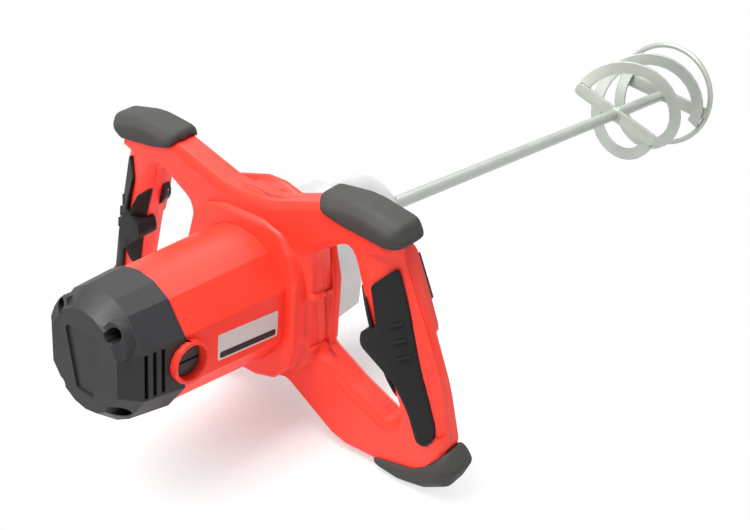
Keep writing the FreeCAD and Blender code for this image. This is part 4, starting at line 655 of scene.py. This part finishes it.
def lay_floor(scene):
    """Matt floor that is white to the camera but for the shadow under the tool."""
    bm = bmesh.new()
    bmesh.ops.create_grid(bm, x_segments=1, y_segments=1, size=FLOOR_HALF)
    mesh = bpy.data.meshes.new("floor")
    bm.to_mesh(mesh)
    bm.free()
    floor = bpy.data.objects.new("floor", mesh)
    scene.collection.objects.link(floor)
    paint = bpy.data.materials.new("Matt white studio floor")
    paint.use_nodes = True
    tree = paint.node_tree
    shader = tree.nodes["Principled BSDF"]
    shader.inputs["Base Color"].default_value = tuple(scene.mixer_look.floor) + (1.0,)
    shader.inputs["Roughness"].default_value = 0.9
    shader.inputs["Specular IOR Level"].default_value = 0.1
    glow = add(tree, "ShaderNodeEmission", Color=WHITE, Strength=1.0)
    place = add(tree, "ShaderNodeTexCoord").outputs["Object"]
    under = add(tree, "ShaderNodeVectorMath", {"operation": "SUBTRACT"}, i0=place, i1=SHADOW_CENTRE)
    far = add(tree, "ShaderNodeVectorMath", {"operation": "LENGTH"}, i0=under.outputs["Vector"])
    fade = add(tree, "ShaderNodeMapRange", {"interpolation_type": "SMOOTHSTEP"}, Value=far.outputs["Value"],
               **SHADOW_FADE)
    seen = add(tree, "ShaderNodeMath", {"operation": "MULTIPLY"}, i0=straight_sight(tree),
               i1=fade.outputs["Result"])
    mix = add(tree, "ShaderNodeMixShader", Fac=seen.outputs[0], i1=shader.outputs[0], i2=glow.outputs[0])
    tree.links.new(mix.outputs[0], tree.nodes["Material Output"].inputs["Surface"])
    mesh.materials.append(paint)


def fill_air(scene):
    """White surroundings that light the tool less than they show."""
    world = bpy.data.worlds.new("Studio air")
    scene.world = world
    world.use_nodes = True
    tree = world.node_tree
    strength = add(tree, "ShaderNodeMapRange", Value=straight_sight(tree), **AIR_LIGHT)
    sky = tree.nodes["Background"]
    sky.inputs["Color"].default_value = WHITE
    tree.links.new(strength.outputs["Result"], sky.inputs["Strength"])


def hang_lamps(scene):
    """Square soft boxes that point at the tool."""
    for name, place, size, power in LAMPS:
        lamp = bpy.data.lights.new(name, "AREA")
        lamp.size = size
        lamp.energy = power
        holder = bpy.data.objects.new(name, lamp)
        holder.location = place
        aim = LAMP_AIM - Vector(place)
        holder.rotation_euler = aim.to_track_quat("-Z", "Y").to_euler()
        scene.collection.objects.link(holder)


def set_camera(scene):
    """Camera behind and above the tool, with plain colours."""
    lens = bpy.data.cameras.new("camera")
    lens.sensor_width = 36.0
    lens.lens = CAMERA_LENS
    lens.clip_start = 0.01
    camera = bpy.data.objects.new("camera", lens)
    camera.location = CAMERA_PLACE
    camera.rotation_euler = [math.radians(angle) for angle in CAMERA_TURN]
    scene.collection.objects.link(camera)
    scene.camera = camera
    scene.view_settings.view_transform = "Standard"


# User settings

class MixerLook(bpy.types.PropertyGroup):
    """Colours of the tool and the floor, and the height of the finger strips."""
    red: StringProperty(name="Red", description="Lit tone of the red housing", default="#FB3F2E")
    red_deep: StringProperty(name="Deep red", description="Deeper tone of the red housing", default="#F03728")
    cap: StringProperty(name="Cap grey", description="Lit tone of the rear cap", default="#232326")
    cap_deep: StringProperty(name="Deep cap grey", description="Deeper tone of the rear cap",
                             default="#1A1A1D")
    rubber: StringProperty(name="Bumper grey", description="Lit tone of the bumpers", default="#383734")
    rubber_deep: StringProperty(name="Deep bumper grey", description="Deeper tone of the bumpers",
                                default="#282725")
    pad: StringProperty(name="Pad black", description="Lit tone of the palm pads", default="#1E1D1E")
    pad_deep: StringProperty(name="Deep pad black", description="Deeper tone of the palm pads",
                             default="#161617")
    strip_height: FloatProperty(name="Finger strip height", description="How far the strips stand proud",
                                default=1.5 * MM, min=0.2 * MM, max=3.0 * MM, unit="LENGTH")
    floor: FloatVectorProperty(name="Floor", description="Colour of the floor and backdrop", subtype="COLOR",
                               default=(0.95, 0.95, 0.95), min=0.0, max=1.0)


# Operators

class MIXER_OT_housing(bpy.types.Operator):
    """Moulds the red motor barrel and the two halves of the handle frame"""
    bl_idname = "mixer.housing"
    bl_label = "Red housing"

    def execute(self, context):
        rounded_node("motor_housing", crease=24.0, reshape=lambda bm: in_tool_frame(bm, longer_barrel))
        rounded_node("handle_rear_shell", reshape=cut_and_swell)
        rounded_node("handle_front_shell")
        return {"FINISHED"}


class MIXER_OT_rear_cap(bpy.types.Operator):
    """Moulds the dark rear cap, the brush caps and the cable inlet"""
    bl_idname = "mixer.rear_cap"
    bl_label = "Rear cap"

    def execute(self, context):
        rounded_node("rear_cap", crease=18.0, reshape=lambda bm: in_tool_frame(bm, shorter_cap))
        bm = bmesh.new()
        for side in (1.0, -1.0):
            cap_boss(bm, side)
        move_all(bm, TOOL)
        face_outwards(bm)
        # Recalculating leaves the bosses inside out, which shows as a negative volume
        if bm.calc_volume(signed=True) < 0.0:
            bmesh.ops.reverse_faces(bm, faces=bm.faces[:])
        finish_piece(bm, "cap_bosses", "housing", "dark")
        for side in ("left", "right"):
            rounded_node("brush_cap_" + side, width_mm=0.4, finish="phenolic",
                         reshape=lambda bm: in_tool_frame(bm, sunk_cap))
        rounded_node("cable_inlet", width_mm=0.8)
        return {"FINISHED"}


class MIXER_OT_rubber(bpy.types.Operator):
    """Shapes the four corner bumpers and the palm pads"""
    bl_idname = "mixer.rubber"
    bl_label = "Bumpers and pads"

    def execute(self, context):
        for side in ("left", "right"):
            for end in ("top", "bottom"):
                cushioned_bumper(f"{end}_bumper_{side}")
            rounded_node("grip_insert_" + side, width_mm=0.7, reshape=cut_and_swell)
        return {"FINISHED"}


class MIXER_OT_grip_trim(bpy.types.Operator):
    """Adds the soft strips under the fingers and the ridges on the palm pads"""
    bl_idname = "mixer.grip_trim"
    bl_label = "Grip trim"

    def execute(self, context):
        proud = context.scene.mixer_look.strip_height
        for side, name in ((1.0, "right"), (-1.0, "left")):
            for part, path in STRIP_PATHS.items():
                finger_strip(path, side, proud, f"finger_strip_{part}_{name}")
            pad = skin_of("grip_insert_" + name)
            bm = bmesh.new()
            for u, w in PAD_RIDGES:
                ridge(bm, pad, side, u, w)
            swell_palm(bm)
            finish_piece(bm, "pad_ridges_" + name, "housing", "pad")
        return {"FINISHED"}


class MIXER_OT_rating_plate(bpy.types.Operator):
    """Sticks a plain rating plate on the flat side of the barrel"""
    bl_idname = "mixer.rating_plate"
    bl_label = "Rating plate"

    def execute(self, context):
        barrel = skin_of("motor_housing")
        for name, low, high, finish, lift in PLATES:
            plate(barrel, name, low, high, finish, lift)
        return {"FINISHED"}


class MIXER_OT_controls(bpy.types.Operator):
    """Rounds the trigger, the lock button and the speed dial, and marks the dial"""
    bl_idname = "mixer.controls"
    bl_label = "Controls"

    def execute(self, context):
        rounded_node("trigger", width_mm=0.6)
        rounded_node("lock_button", width_mm=0.5)
        rounded_node("speed_dial", width_mm=0.4)
        dial_marks()
        return {"FINISHED"}


class MIXER_OT_gearbox(bpy.types.Operator):
    """Smooths the cast gear housing"""
    bl_idname = "mixer.gearbox"
    bl_label = "Gear housing"

    def execute(self, context):
        rounded_node("gear_housing")
        return {"FINISHED"}


class MIXER_OT_stirrer(bpy.types.Operator):
    """Makes the rod, crossbars, ribbons, end ring and weld beads of the stirrer"""
    bl_idname = "mixer.stirrer"
    bl_label = "Stirrer"

    def execute(self, context):
        for node in CROSSBARS:
            crossbar(node)
        for node in ("paddle_ribbon_a", "paddle_ribbon_b", "paddle_rod"):
            rounded_node(node, width_mm=0.6, least_angle=ROD_EDGE_ANGLE)
        rings([END_RING], corners=20, steps=96, name="end_ring_bent", replaced=["paddle_end_ring"])
        rings(WELD_BEADS, corners=10, steps=28, name="weld_beads")
        return {"FINISHED"}


class MIXER_OT_inner_finish(bpy.types.Operator):
    """Gives every CAD piece that stays in view its finish"""
    bl_idname = "mixer.inner_finish"
    bl_label = "Other pieces"

    def execute(self, context):
        for name, node in frame["nodes"].items():
            if node.hide_render:
                continue
            finish = SLOT_FINISH[slot_of_node(name)]
            if name.endswith("_screws"):
                finish = "black_steel"
            node.data.materials.clear()
            node.data.materials.append(MATERIALS[finish])
        return {"FINISHED"}


class MIXER_OT_stage(bpy.types.Operator):
    """Lays the pale floor, sets the studio lights and the camera"""
    bl_idname = "mixer.stage"
    bl_label = "Studio"

    def execute(self, context):
        lay_floor(context.scene)
        fill_air(context.scene)
        hang_lamps(context.scene)
        set_camera(context.scene)
        return {"FINISHED"}


class MIXER_PT_panel(bpy.types.Panel):
    """Lists the steps that finish the mixing drill"""
    bl_idname = "MIXER_PT_panel"
    bl_label = "Mixing drill"
    bl_space_type = "VIEW_3D"
    bl_region_type = "UI"
    bl_category = "Mixing drill"

    def draw(self, context):
        for step in STEPS:
            self.layout.operator(step.bl_idname)


STEPS = (
    MIXER_OT_housing, MIXER_OT_rear_cap, MIXER_OT_rubber, MIXER_OT_grip_trim, MIXER_OT_rating_plate,
    MIXER_OT_controls, MIXER_OT_gearbox, MIXER_OT_stirrer, MIXER_OT_inner_finish, MIXER_OT_stage,
)
CLASSES = (MixerLook,) + STEPS + (MIXER_PT_panel,)


def register():
    for item in CLASSES:
        bpy.utils.register_class(item)
    bpy.types.Scene.mixer_look = PointerProperty(type=MixerLook)


def unregister():
    del bpy.types.Scene.mixer_look
    for item in reversed(CLASSES):
        bpy.utils.unregister_class(item)


def main():
    register()
    MATERIALS.update(make_materials())
    for step in STEPS:
        group, name = step.bl_idname.split(".")
        getattr(getattr(bpy.ops, group), name)()


if __name__ == "__main__":
    main()
